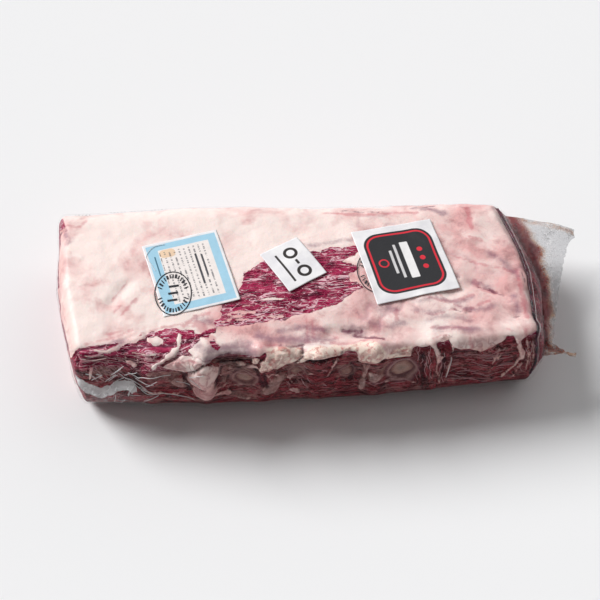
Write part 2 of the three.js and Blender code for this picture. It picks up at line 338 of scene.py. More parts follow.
# Strokes of one tissue: half width, rise, path
strokes = {
    "pale": [
        (1.6, 1.6, [(-99.7, 20), (-99.7, 27), (-101.4, 34)]),
        (2.6, 2.0, [(-102.5, 35), (-107, 40), (-110.3, 42.6)]),
        (2.0, 1.6, [(-110.3, 42.6), (-115, 48.5), (-121, 54.4)]),
        (1.9, 1.4, [(-180, 34), (-168, 36.5), (-158, 32)]),
        (2.2, 1.4, [(-158, 32), (-150, 27.5), (-141, 23.6), (-131, 21)]),
        (0.8, 0.8, [(-158, 24), (-146, 19), (-137, 17)]), (3.0, 1.8, [(-144.5, 52), (-140, 56)]),
        (1.3, 1.8, [(-185.4, 61.5), (-187.5, 70), (-189.5, 77)]),
        (0.6, 0.7, [(-180, 64), (-172, 72), (-163, 79)]), (0.5, 0.6, [(-175, 62), (-169, 68), (-166, 76)]),
        (0.6, 0.7, [(-170, 62), (-163, 72), (-160, 75)]), (0.5, 0.6, [(-184, 70), (-176, 79)]),
        (0.6, 0.6, [(-152, 44), (-147, 50), (-146, 55)]), (0.5, 0.6, [(-149, 36), (-148, 44)]),
        (0.7, 0.7, [(-136, 46), (-135, 54)]), (0.5, 0.5, [(-140, 36), (-128, 40), (-120, 39)]),
        (0.6, 0.5, [(-200, 38), (-186, 42), (-172, 40)]), (0.6, 0.5, [(-198, 47), (-184, 50), (-170, 46)]),
        (1.2, 1.2, [(-66, 54), (-58, 55), (-50, 53)]), (0.9, 1.0, [(-44, 44), (-38, 46)]),
        (1.3, 1.3, [(-56, 58), (-46, 59)]), (2.2, 1.8, [(-46, 62.5), (-36, 60)]),
        (1.7, 1.4, [(-59, 62), (-57, 64)]), (1.8, 1.6, [(57.5, 63), (56, 75), (54.5, 90), (53, 99)]),
        (1.0, 1.0, [(32, 53), (28.4, 64), (26.7, 72), (23.7, 78)]),
        (1.7, 0.8, [(111, 36), (113.5, 46), (116, 53)]), (2.5, 0.8, [(116, 53), (118, 60), (118, 67)]),
        (0.8, 0.5, [(117.5, 69), (117, 80), (120.5, 92), (121, 102)]),
        (0.7, 0.9, [(128.7, 47), (129.3, 57), (127, 61), (130, 71), (128.7, 78), (127, 94.6)]),
        (1.7, 1.2, [(184.5, 46), (186.8, 56), (187.5, 66), (186.5, 76)]),
        (1.0, 0.9, [(186.5, 76), (183, 86), (178, 95), (174, 103)]),
        (0.5, 0.5, [(193, 42), (192.4, 52), (193.5, 70), (192, 98)]),
        (0.4, 0.5, [(190, 64), (189, 84), (183, 104)]),
        (0.4, 0.5, [(196.5, 50), (197.5, 62), (197, 80), (195, 100)]),
        (0.4, 0.4, [(179, 60), (172, 66), (168, 80), (164, 88)]),
        (0.5, 0.6, [(169.5, 58), (166.6, 75.7), (163, 81.6)]), (0.5, 0.6, [(178, 56), (171, 61)]),
        (0.5, 0.5, [(181, 98), (186, 90), (189, 84)]), (1.5, 1.2, [(-71, 92), (-60, 97)]),
        (1.5, 1.0, [(-51, 103), (-44, 105)]), (1.4, 1.0, [(-7, 98), (-1, 102)]),
        (1.5, 1.2, [(-9, 82.5), (-4, 81)]), (1.2, 0.8, [(7, 76), (11, 74)]),
        (0.8, 0.9, [(-28, 66), (-22, 72), (-15, 80)]), (0.6, 0.7, [(-27, 70), (-24, 80), (-22, 86)]),
        (0.6, 0.7, [(-12, 76), (-8, 84), (-6, 90)]), (0.5, 0.6, [(-66, 70), (-52, 66), (-40, 68)]),
        (0.6, 0.6, [(-70, 84), (-55, 88), (-38, 86)]), (1.0, 1.0, [(-133, 90), (-118, 96), (-104, 98)]),
        (0.7, 0.7, [(74, 92), (90, 93), (100, 98)]), (0.9, 0, [(-64, 8), (-54, 5), (-42, 6.5)]),
        (0.9, 0, [(-58, 0), (-48, -3), (-36, -1)]), (0.8, 0, [(-46, -8), (-34, -9), (-22, -6)]),
        (0.9, 0, [(-36, 5), (-26, 3), (-12, 4)]), (0.8, 0, [(-56, 3), (-44, 1)]),
        (0.8, 0, [(-30, -14), (-16, -15), (-4, -12)]),
    ],
    "cream": [
        (3.0, 2.8, [(-25, 38), (-25, 44), (-29, 54), (-31.5, 61)]),
        (2.3, 2.6, [(0, 39), (-5, 44), (-11, 51), (-18, 58)]),
        (2.6, 2.2, [(-15, 37.5), (-9, 36.5), (-3, 37.5)]), (3.2, 2.2, [(-36.6, 49), (-36.4, 52)]),
        (2.6, 1.8, [(-50, 55), (-48.5, 56.5)]),
    ],
    "silver": [
        (7, 0, [(-72, 46), (-55, 42), (-42, 41)]), (4, 0, [(-75, 37), (-60, 34), (-44, 33)]),
        (3.6, 0, [(-34, 24), (-18, 27), (-4, 27), (7, 28)]), (3, 0, [(12, 28), (27, 27)]),
        (1.6, 0, [(-86, 31), (-79, 36), (-72, 41)]), (3, 0, [(40, 18), (52, 20)]),
        (3, 0, [(141, 30), (150, 31)]), (1.2, 0, [(115, 25), (141, 28.4)]),
        (2, 0, [(-165, 30), (-150, 24)]), (2.5, 0, [(-199, -99), (-196, -86)]),
        (2, 0, [(-50, -22), (-63, -13)]), (1.4, 0, [(100, 3), (114, 9), (124, 5)]),
        (1.8, 0, [(138, 1), (152, 8), (168, 3)]), (1.6, 0, [(150, -30), (166, -22)]),
        (1.6, 0, [(172, -62), (184, -50), (192, -34)]), (1.4, 0, [(128, -42), (140, -36)]),
        (1.2, 0, [(62, 13), (78, 20), (90, 15)]), (1.0, 0, [(106, -7), (120, -10), (136, -3), (152, -9)]),
        (0.8, 0, [(110, 16), (126, 12), (146, 19)]), (3, 0, [(110, -122), (140, -110)]),
        (2, 0, [(186, -8), (188, 10)]), (1.4, 0, [(-16, 20), (4, 14), (24, 19)]),
        (0.8, 0, [(8, -72), (22, -71), (35, -75), (50, -76)]), (2, 0, [(-84, 4), (-72, 8)]),
        (1.0, 0, [(70, -6), (84, 2)]),
    ],
    "blush": [
        (0.8, 0, [(-23, 36), (-22, 46), (-25, 58)]), (0.9, 0, [(-16, 38), (-17, 46), (-20, 56)]),
        (0.7, 0, [(-8, 38), (-10, 44)]), (0.8, 0, [(5, 38), (8, 46), (4, 52)]),
        (0.7, 0, [(19, 38), (17, 46)]), (0.6, 0, [(29, 38), (31, 44)]),
        (0.7, 0, [(71, 34), (66, 36), (62, 34)]), (0.7, 0, [(72.5, 38), (73, 50)]),
        (0.6, 0, [(88, 44), (89, 50)]), (0.7, 0, [(144.5, 36), (145.5, 44), (146, 52)]),
        (0.5, 0, [(112, 36), (120, 33), (128, 35)]), (0.7, 0, [(176, 32), (184, 36)]),
        (0.9, 0, [(-82, 50), (-92, 46), (-100, 50)]), (0.8, 0, [(-84, 66), (-80, 72), (-84, 80)]),
        (0.6, 0, [(192, 34), (193, 42)]), (0.7, 0, [(-160, -17), (-152, -28), (-145, -37)]),
        (1.2, 0, [(-150, -2), (-134, -22)]), (0.7, 0, [(-158, -6), (-150, -12)]),
        (0.9, 0, [(7, 0), (8, 14), (7, 28)]), (0.8, 0, [(12, 8), (13, 26)]),
        (0.8, 0, [(17, 14), (22, 20), (28, 22)]), (1.4, 0, [(31, 25), (30, 25)]),
        (1.0, 0, [(5, 30), (24, 31), (44, 33), (58, 30)]), (0.8, 0, [(60, 34), (68, 36), (74, 42)]),
        (2.0, 0, [(30, -112), (60, -108), (110, -112)]), (3.0, 0, [(168, -118), (165, -92)]),
        (1.6, 0, [(160, -80), (170, -76)]), (1.2, 0, [(140, -58), (160, -50), (190, -39)]),
        (2.4, 0, [(154, -30), (158, -22), (170, -14)]), (1.0, 0, [(84, 2), (84, 12)]),
        (1.0, 0, [(100, 6), (118, 10), (140, 2)]), (1.6, 0, [(108, -13), (130, -3), (152, -12)]),
        (1.2, 0, [(120, -16), (142, 6), (164, -2)]), (0.7, 0, [(129, -30), (140, -20)]),
        (2.0, 0, [(192, -40), (195, 0), (194, 20)]), (1.4, 0, [(112, 24), (128, 27), (143, 28)]),
        (0.8, 0, [(-130, 17), (-112, 12), (-100, 10), (-84, 12)]), (4.0, 0, [(-84, 8), (-72, 30)]),
        (1.6, 0, [(-96, 12), (-86, 2), (-74, -2)]), (1.0, 0, [(-32, 35), (-20, 33), (-14, 36)]),
        (1.5, 0, [(-46, 52), (-34, 55)]), (1.0, 0, [(-190, 27), (-165, 22), (-140, 14)]),
        (0.8, 0, [(-170, 18), (-150, 14)]), (1.0, 0, [(-200, -108), (-186, -102), (-180, -112)]),
    ],
    "lean": [
        (2.0, 0, [(-80, 19), (-71, 17)]), (2.4, 0, [(-73, 28), (-68, 33)]),
        (1.6, 0, [(-87, 20), (-76, 22.5)]), (5.6, 0, [(42, 47), (43, 53)]),
        (0.6, 0, [(-64.5, 17.5), (-64, 18)]),
    ],
    # Dark strokes: painted shade in the crevices, under the fat ridge, lumps and lobes and below the fat
    # cover, with the darker tissue of slits and wound edges
    "darkSlitsAndShade": [
        (0.8, 0, [(-100, 64), (-94, 61.5), (-88, 58), (-80, 52)]),
        (0.8, 0, [(-75, 47), (-64, 44), (-52, 42)]), (0.7, 0, [(-70, 49), (-58, 46), (-48, 46)]),
        (0.6, 0, [(-67, 41), (-57, 39)]), (1.0, 0, [(-90, 80), (-86, 78), (-80, 76)]),
        (1.4, 0, [(-68.5, 51), (-60, 52.5), (-51, 51)]), (2.2, 0, [(-51, 51), (-41, 50.5)]),
        (0.9, 0, [(-15, 33.5), (-7, 34.5), (2, 33.5), (4.5, 33)]), (1.2, 0, [(3, 35), (2.5, 41.5)]),
        (1.3, 0, [(37.5, 17.5), (45, 19.5), (53, 20)]),
        (1.4, 0, [(47.4, 23), (55, 26), (62, 28.4), (71.4, 31.5)]),
        (1.0, 0, [(36, 42), (35, 48), (32, 53)]), (1.6, 0, [(-36, 64), (-34, 78), (-31, 90)]),
        (1.6, 0, [(-30, 66), (-29, 78), (-28, 88)]), (1.2, 0, [(7, 52), (20, 50.5), (33, 50)]),
        (1.5, 0, [(50, 62), (62, 63), (72, 60)]), (1.0, 0, [(75, 59.5), (94, 59.5)]),
        (2.0, 0, [(131, 56), (140, 60), (150, 63)]), (1.4, 0, [(-110, 62), (-100, 64), (-96, 66)]),
        (1.8, 0, [(-96, 68), (-97, 73), (-93, 92)]), (1.6, 0, [(-66, 60), (-68, 70), (-71, 80)]),
        (1.1, 0, [(-150, 37), (-142, 32), (-125, 30.5), (-105, 30)]),
        (0.7, 0, [(-207, 34), (-190, 31), (-170, 30)]), (0.8, 0, [(-128, 18), (-129, 26), (-126, 30)]),
        (1.0, 0, [(-60, 78), (-62, 88), (-55, 92)]), (1.2, 0, [(-150, 60), (-140, 70), (-130, 76)]),
        (2.2, 0, [(-146, 84), (-130, 96), (-112, 101)]), (1.6, 0, [(45, 64), (46, 80), (44, 92)]),
        (1.4, 0, [(104, 52), (106, 74), (108, 98)]), (1.2, 0, [(123, 64), (124, 84), (120, 98)]),
        (1.1, 0, [(157, -23), (164, -20), (172, -14), (178, -11)]), (0.7, 0, [(137, -35), (142, -34)]),
        (0.8, 0, [(134, 4.5), (139, 7.7)]), (0.7, 0, [(143.5, 9), (148, 8.3)]),
        (0.6, 0, [(184, 17.7), (190, 17.3)]), (1.2, 0, [(197, -38), (199, -28)]),
        (0.9, 0, [(40, -118), (60, -113), (76, -112)]), (2.2, 0, [(116, -126), (130, -128)]),
        (1.3, 0, [(-210, -104), (-198, -101)]),
    ],
    "tan": [
        (3.5, 0, [(-70, 50), (-58, 46), (-44, 48)]), (1.4, 0, [(-62, 43), (-50, 42)]),
        (6, 0, [(-122, 68), (-112, 70), (-106, 68)]), (5, 0, [(-106, 80), (-98, 82)]),
        (9, 0, [(-58, 62), (-44, 72)]), (6, 0, [(-60, 80), (-44, 84)]), (7, 0, [(-4, 66), (0, 72)]),
        (3, 0, [(-14, 61), (0, 59), (10, 60)]), (6, 0, [(-16, 82), (-26, 96)]),
        (6, 0, [(38, 72), (40, 82)]), (3, 0, [(56, 66), (54, 96)]), (7, 0, [(64, 84), (70, 80)]),
        (8, 0, [(-176, 70), (-162, 70)]), (3, 0, [(-130, 108), (-100, 110), (-80, 104)]),
        (3, 0, [(-60, 100), (-40, 103)]), (3, 0, [(76, 66), (74, 76)]), (2, 0, [(84, 52), (93, 50)]),
        (1.5, 0, [(122, 36), (127, 36)]),
    ],
}
# Patches of one tissue: rise, outline
patches = {
    "pale": [
        (1.0, [(-127, 22), (-118, 21.5), (-113, 25), (-114, 28), (-122, 28.5), (-127, 26)]),
        (3.0, [(-113, 55), (-108, 50), (-104, 46), (-97, 41.5), (-90, 42.5), (-82, 44), (-76, 46.5),
               (-74, 49), (-79, 51), (-84, 54.5), (-88, 57.5), (-96, 60), (-106, 59.5)]),
        (2.6, [(-88, 56), (-83, 53), (-77, 52), (-71, 55), (-66, 59), (-66.5, 66), (-70, 71), (-73, 75),
               (-70.5, 80), (-70, 88), (-73, 94), (-80, 96), (-88, 95), (-91, 88), (-88.5, 80), (-92, 77),
               (-96, 72), (-94, 65), (-92, 60)]),
        (2.6, [(-107, 76), (-103, 73), (-99, 75), (-95, 79), (-94, 84), (-98, 87), (-104, 86), (-108, 82)]),
        (2.2, [(-19, 80), (-14, 77), (-12.5, 81), (-16, 91), (-21, 98), (-29, 99), (-31, 94), (-25, 85)]),
        (1.8, [(60, 76), (66, 76), (73, 80.5), (70, 86), (64, 90.5), (60, 88)]),
    ],
    "cream": [
        (2.6, [(-4, 57), (1, 50), (5, 43), (9, 37.5), (13, 35), (18, 34), (25, 36), (33, 34.5), (40, 35),
               (47, 33), (52, 31), (58, 32), (64, 34), (70, 39), (72.5, 45), (72, 53), (68, 58.5),
               (61, 60.5), (54, 60.5), (49, 57), (50, 50), (48, 43), (43, 40.5), (38, 41), (35, 45),
               (30, 47.5), (22, 48.5), (12, 49.5)]),
        (1.0, [(-33, 62), (-29, 50), (-28, 42), (-24, 35), (-14, 36), (-4, 35.5), (3, 37), (4, 42),
               (-1, 50), (-6, 55), (-14, 60), (-20, 60), (-26, 63)]),
        (1.6, [(74, 50), (80, 43), (88, 40.5), (96, 40.5), (95, 46), (93.5, 57), (84, 57.5), (75, 57)]),
    ],
}
# Where each rib was drawn: middle, half width along X and down V, how much of its pale skin is left
ribScars = [((-103, 70), 8, 7, 0.15), ((-46, 80), 12, 9.5, 0.7), ((-2, 76), 8.5, 9, 0.5),
            ((41, 80), 8, 10, 0.4), ((88, 81), 14.5, 17, 1.0), ((140, 86), 10, 8, 0.1)]


# The unrolled place of each point of the plain block: from the back over the top and down the front
def unrolled(box):
    toTop, toFront, toBack = half[2] - box[:, 2], half[1] + box[:, 1], half[1] - box[:, 1]
    zeroY = meat["zeroY"]
    v = np.where(toTop < toFront, zeroY - box[:, 1], half[1] + zeroY + toTop)
    v = np.where((toBack < toTop) & (toBack < toFront), -half[1] + zeroY - toTop, v)
    over = np.minimum(toTop, np.minimum(toFront, toBack)) * (half[0] - np.abs(box[:, 0]) < 0.01)
    return np.stack([box[:, 0] + np.sign(box[:, 0]) * over, v], axis=1)


# How far inside a tissue's strokes and patches each place is, and how high they raise it. Wide forms have
# their outlines shaken, narrow ones hardly
def tissue(places, calm, kind):
    field, raised = np.full(len(places), outside), np.zeros(len(places))
    for width, rise, path in strokes.get(kind, ()):
        away = np.full(len(places), far)
        for a, b in zip(path, path[1:]):
            away = np.minimum(away, distanceToLine(calm if width < 1.7 else places, a, b))
        field = np.maximum(field, width - away)
        raised = np.maximum(raised, rise * (1 - smooth(away, 0.2 * width, 1.3 * width)))
    for rise, outline in patches.get(kind, ()):
        inside = insideOutline(places, outline)
        field = np.maximum(field, inside)
        raised = np.maximum(raised, rise * smooth(inside, -1, 3.5) * (0.75 + 0.25 * smooth(inside, 2, 8)))
    return field, raised


# Signed distances in millimetres, over zero inside each kind of tissue, and the relief of the pieces
def meatFields(box, p, facing):
    places = unrolled(box)
    x, v = places[:, 0], places[:, 1]
    ragged = 2.2 * noiseAt(p, 9, 1) + 1.2 * noiseAt(p, 4, 2)
    shaken = places + shake(p, 8, 7, 9) * 1.9
    shaken += shake(p, 3, 10, 18) * 0.8
    calm = places + shake(p, 10, 7, 9) * 0.7
    # Lean: the window in the fat of the top, and what lies below the edge of the fat cover
    top = facing[:, 2] > 0.25
    seen = p[:, :2] + (shaken - places) * np.array([3.0, 0.8])
    lean = np.where(top, insideOutline(seen, meat["window"]), outside)
    lean = np.maximum(lean, insideOutline(shaken, meat["streaks"]))
    lean = np.maximum(lean, insideOutline(shaken, meat["corner"]))
    wound, _ = tissue(shaken, calm, "lean")
    lean = np.maximum(lean, wound)
    below = v - np.interp(x, meat["edgeX"], meat["edgeV"]) + 0.8 * noiseAt(p, 6, 3)
    lean = np.maximum(lean, np.where(below > -20, below, outside))
    # The base and the cut ends: lean inside a rim of fat, with seams of fat across the ends
    atEnd = np.abs(facing[:, 0])
    onEndFace = smooth(atEnd, 0.5, 0.85)
    ribSide = smooth(v, 36, 50) * (1 - onEndFace)
    under = (p[:, 2] < 28) & (p[:, 1] > -78)
    lean = np.where(under, -50 - p[:, 1] + 10 * noiseAt(p, 40, 29) + 3 * noiseAt(p, 12, 30), lean)
    rimDepth = 75 - p[:, 2] + 0.1 * p[:, 1] + 4 * noiseAt(p, 26, 24) + 2 * noiseAt(p, 9, 25)
    lean = np.maximum(lean, np.where(atEnd > 0.75, np.minimum(rimDepth, 84 - np.abs(p[:, 1])), outside))
    onEnd = p[:, 1:] + shake(p, 14, 26, 27) * 3
    seams = np.full(len(p), far)
    for path in meat["seams"]:
        for a, b in zip(path, path[1:]):
            seams = np.minimum(seams, distanceToLine(onEnd, a, b))
    lean = np.where(atEnd > 0.75, np.minimum(lean, seams - 1.0 - 0.6 * noiseAt(p, 9, 28)), lean)
    rim = p[:, 0] - np.interp(p[:, 1], meat["rimY"], meat["rimX"])
    lean = np.maximum(lean, np.where(p[:, 2] > 20, 2.5 * rim, outside))
    # Loose pieces of fat lie over the lean, and wounds in them show it again
    pale, paleRise = tissue(shaken, calm, "pale")
    cream, creamRise = tissue(shaken, calm, "cream")
    cover = np.maximum(pale, cream)
    lean = np.minimum(lean + 0.6 * ragged, -cover + 0.2 * ragged)
    lean = np.maximum(lean, wound)
    # Rib scars: 0 in the middle of each and 1 at its rim
    scar, scarPale = np.full(len(p), 3.0), np.zeros(len(p))
    for (cx, cv), wide, high, paleness in ribScars:
        away = np.hypot((x - cx) / wide, (v - cv) / high) + 0.05 * ragged
        scarPale = np.where(away < scar, paleness, scarPale)
        scar = np.minimum(scar, away)
    # How pink the fat is: most at the right, along its edge, on the ends and on the back
    rosy = smooth(p[:, 0] + 30 * noiseAt(p, 60, 4) - 0.6 * p[:, 1], -70, 110)
    rosy = np.maximum(rosy, smooth(v, -14, 2) * smooth(x, -95, -60) * (1 - smooth(x, 60, 100)))
    rosy = 0.62 * rosy * (1 - 0.7 * smooth(v, 12, 30) * smooth(x, 68, 84))
    rosy = np.maximum(rosy, 0.5 * smooth(-p[:, 0], 195, 205))
    # On the rib side the fat is held nearly white: partly its own colour, partly painted light, as that
    # side faces away from the key
    rosy = np.where((v > 34) & (atEnd < 0.7), 0.15, rosy)
    onPiece = smooth(pale, -1, 1.5) * ribSide
    rosy = np.maximum(rosy, (0.2 + 0.4 * smooth(v, 56, 64)) * onPiece)
    rosy = np.maximum(rosy, smooth(-p[:, 2], -60, -40) * (p[:, 1] > -60))
    rosy = np.maximum(rosy, 0.7 * smooth(p[:, 1], 76, 90))
    # Where fat is tanned, where its left end is darkened as painted shade against the key light, where it
    # is folded, where the rib side's looks hold, and where the grain runs down
    tanAndEndShade = smooth(v + ragged - 9 * smooth(-x, 84, 92), 48, 60) * ribSide
    # The left end, which faces the key, is darkened: painted shade
    tanAndEndShade = np.maximum(tanAndEndShade * (1 - 0.8 * onPiece), 0.3 * smooth(-box[:, 0], 196, 205))
    crossing = np.abs(noiseAt(p, 42, 5, (1.5, 1, 1)) + 0.3 * noiseAt(p, 14, 6))
    # Fold lines are mauve and sunk in the relief: partly the fat's own tone, partly painted shade in the
    # creases
    fold = np.exp(-(crossing / 0.045) ** 2) * (0.15 + 0.85 * rosy) * smooth(noiseAt(p, 50, 8), -0.1, 0.4)
    ribTone = ribSide * (1 - 0.75 * smooth(-x, 100, 125) * (1 - smooth(v, 58, 74))) + 0.4 * onEndFace
    upright = smooth(x + 2 * ragged, 96, 101) * smooth(-x + 2 * ragged, -129, -125)
    upright = np.maximum(upright, smooth(x + 2 * ragged, 188, 194)) * ribSide
    fields = {"lean": lean, "cream": cream, "scar": scar, "scarPale": scarPale, "rosy": rosy,
              "fold": 0.7 * fold, "ribSide": np.maximum(ribTone, 0.8 * smooth(rim, -1, 2)),
              "upright": upright, "tanAndEndShade": tanAndEndShade}
    # Of these, the dark strokes hold painted shade, with the darker tissue of slits
    for key in ("silver", "blush", "tan", "darkSlitsAndShade"):
        fields[key] = tissue(shaken, calm, key)[0]
    return fields, np.maximum(paleRise, creamRise), cover, ribSide


def rawBeef(keys):
    # Raw beef: matte white-pink fat over crimson muscle with fine white marbling along the grain
    material, add = newMaterial("raw beef, trimmed")
    place = add("TexCoord").outputs["Object"]
    field = {key: add("Attribute", attribute_name=key).outputs["Fac"] for key in keys}

    # The grain runs along the roast and wanders a little; by some ribs it runs down the side
    wander = add("TexNoise", {"Vector": place, "Scale": mm(26), "Detail": 2})
    bent = add("VectorMath", {0: wander.outputs["Color"], 1: (0.009, 0.009, 0.009), 2: place},
               operation="MULTIPLY_ADD")
    along = add("Mapping", {"Vector": bent, "Scale": (0.2, 1.0, 1.0)})
    down = add("Mapping", {"Vector": bent, "Scale": (1.0, 1.0, 0.13)})
    along = add("Mix", {0: field["upright"], 4: along, 5: down}, data_type="VECTOR").outputs[1]

    # Noises: name, place, size, detail, roughness, distortion
    noises = {}
    for key, at, size, detail, rough, distort in (
            ("ragged", place, 7, 4, 0.65, 0), ("fibre", along, 1.5, 3, 0.6, 0),
            ("band", along, 7, 2, 0.5, 0), ("patchy", place, 18, 2, 0.5, 0),
            ("blush", bent, 38, 4, 0.55, 0.5),
            ("blotch", bent, 20, 7, 0.66, 0.3), ("vessel", place, 22, 5, 0.5, 1.6),
            ("torn", bent, 10, 3, 0.5, 0.5), ("skin", bent, 7, 5, 0.7, 0), ("lump", bent, 5.5, 5, 0.65, 0),
            ("small", place, 5, 5, 0.6, 0)):
        noises[key] = add("TexNoise", {"Vector": at, "Scale": mm(size), "Detail": detail,
                                       "Roughness": rough, "Distortion": distort})
    ragged = add("Math", {0: noises["ragged"], 1: 0.5}, operation="SUBTRACT")

    # Lines are drawn where a noise crosses its middle
    def fromMiddle(value):
        away = add("Math", {0: value, 1: 0.5}, operation="SUBTRACT")
        return add("Math", {0: away}, operation="ABSOLUTE")

    # Marbling: thin wandering lines at two sizes, wider in some patches
    veins = []
    for size, stretch, least, most in ((4.6, 0.22, 0.005, 0.046), (2.2, 0.26, 0.003, 0.03)):
        flow = add("Mapping", {"Vector": bent, "Scale": (stretch, 1.0, 1.0)})
        marble = add("TexNoise", {"Vector": flow, "Scale": mm(size), "Detail": 2.5, "Roughness": 0.55,
                                  "Distortion": 0.5})
        width = add("MapRange", {"Value": noises["patchy"], "From Min": 0.38, "From Max": 0.62,
                                 "To Min": least, "To Max": most})
        line = add("Math", {0: fromMiddle(marble), 1: width}, operation="DIVIDE")
        veins.append(add("MapRange", {"Value": line, "From Min": 1.0, "From Max": 0.35},
                         interpolation_type="SMOOTHSTEP"))
    veins = add("Math", {0: veins[1], 1: 0.55, 2: veins[0]}, operation="MULTIPLY_ADD", use_clamp=True)
    lessOnRibs = add("Math", {0: field["ribSide"], 1: -0.5, 2: 0.9}, operation="MULTIPLY_ADD")
    veins = add("Math", {0: veins, 1: lessOnRibs}, operation="MULTIPLY")

    # Muscle: crimson on the cut top, browner and darker on the rib side
    strands = add("Math", {0: noises["band"], 1: 0.6, 2: noises["fibre"]}, operation="MULTIPLY_ADD")
    onTop, onRibs = [add("ValToRGB", {"Fac": strands}, stops=list(zip((0.66, 0.8, 0.96), tones)))
                     for tones in (("#4e0724", "#8c183f", "#b4345c"), ("#2c040b", "#66101d", "#a23a46"))]
    # shade is the colour of the dark strokes' painted shade: plum on the top, near black on the rib side
    lean, vein, shade = [add("Mix", {0: field["ribSide"], 6: top, 7: rib}, data_type="RGBA").outputs[2]
                         for top, rib in ((onTop, onRibs), ("#eec3cc", "#d09a98"), ("#70324a", "#2c0a18"))]
    lean = add("Mix", {0: veins, 6: lean, 7: vein}, data_type="RGBA").outputs[2]

    # Fat: cream to pink, blotched, with mauve in its sunk folds, partly its own tone and partly painted
    # shade, and a few fine blood vessels; on the rib side torn and crumpled, tan towards its foot, with red
    # in its creases
    rosy = add("Math", {0: noises["blush"], 1: 3.4, 2: -1.7}, operation="MULTIPLY_ADD")
    rosy = add("Math", {0: rosy, 1: field["rosy"]}, operation="ADD", use_clamp=True)
    masks = {}
    for key, value, low, high, most, where, curve in (
            ("blotch", noises["blotch"], 0.46, 0.66, 0.9, rosy, "SMOOTHSTEP"),
            ("vessel", fromMiddle(noises["vessel"]), 0.014, 0.0, 0.3, field["rosy"], "LINEAR"),
            ("torn", fromMiddle(noises["torn"]), 0.085, 0.0, 0.6, field["ribSide"], "SMOOTHSTEP")):
        mask = add("MapRange", {"Value": value, "From Min": low, "From Max": high, "To Max": most},
                   interpolation_type=curve)
        masks[key] = add("Math", {0: mask, 1: where}, operation="MULTIPLY")
    # The tan mask also darkens the left end: painted shade where the key falls full on it
    colour = "#f9e6e0"
    for mask, tone in ((rosy, "#e8b4b2"), (masks["blotch"], "#be8c8c"), (field["fold"], "#b4808c"),
                       (masks["vessel"], "#b0506a"), (field["tanAndEndShade"], "#d6a298"),
                       (masks["torn"], "#b8787c")):
        colour = add("Mix", {0: mask, 6: colour, 7: tone}, data_type="RGBA").outputs[2]

    # The brown skin that lined the ribs, thin and torn, and the cream rib fat with pink in its hollows
    tan = add("ValToRGB", {"Fac": noises["skin"]}, stops=((0.36, "#482226"), (0.66, "#b88c84")))
    # The cream's light tone is close to white: partly its own colour, partly painted light on the rib side,
    # which faces away from the key
    cream = add("ValToRGB", {"Fac": noises["lump"]}, stops=((0.38, "#d4948c"), (0.5, "#fbe4d6")))
    cream = add("Mix", {0: masks["torn"], 6: cream, 7: "#c08280"}, data_type="RGBA").outputs[2]

    # Each tissue is laid over the last where its field is over zero, and the dark strokes' painted shade
    # last of all: ragged by, soft by, colour, strength
    layers = [("blush", 8, 1.6, "#c4636f", 0.5), ("silver", 12, 4.5, "#8f6878", 0.75),
              ("cream", 5, 1.4, cream, 0.95), ("lean", 5, 0.45, lean, 1.0), ("tan", 18, 2.5, tan, 0.72),
              ("darkSlitsAndShade", 5, 1.1, shade, 0.8)]
    for key, rough, soft, tone, strength in layers:
        edge = add("Math", {0: ragged, 1: rough, 2: field[key]}, operation="MULTIPLY_ADD")
        masks[key] = add("MapRange", {"Value": edge, "From Min": -soft, "From Max": soft,
                                      "To Max": strength}, interpolation_type="SMOOTHSTEP")
        colour = add("Mix", {0: masks[key], 6: colour, 7: tone}, data_type="RGBA").outputs[2]

    # Rib scars: a pale skin in the middle, a dark groove and a pale rim round it
    ring = add("Math", {0: field["scar"], 1: 0.6}, operation="MULTIPLY")
    ring = add("ValToRGB", {"Fac": ring}, stops=((0.0, "#9c8078"), (0.2, "#b89488"), (0.3, "#a87c74"),
                                                 (0.4, "#6c4246"), (0.5, "#b48a86"), (0.58, "#82525a"),
                                                 (0.66, "#5d2c34")))
    ringMask = add("MapRange", {"Value": field["scar"], "From Min": 1.15, "From Max": 0.95})
    ringMask = add("Math", {0: ringMask, 1: field["scarPale"]}, operation="MULTIPLY")
    colour = add("Mix", {0: ringMask, 6: colour, 7: ring}, data_type="RGBA").outputs[2]

    height = add("Math", {0: noises["fibre"], 1: masks["lean"]}, operation="MULTIPLY")
    height = add("Math", {0: noises["small"], 1: 0.6, 2: height}, operation="MULTIPLY_ADD")
    height = add("Math", {0: masks["torn"], 1: -0.9, 2: height}, operation="MULTIPLY_ADD")
    bump = add("Bump", {"Height": height, "Strength": 0.7, "Distance": 0.0014})
    surface = add("BsdfPrincipled", {"Base Color": colour, "Roughness": 0.38, "Specular IOR Level": 0.12,
                                     "Subsurface Weight": 0.08, "Subsurface Radius": (1.0, 0.35, 0.25),
                                     "Subsurface Scale": 0.003, "Normal": bump})
    add("OutputMaterial", {"Surface": surface})
    return material


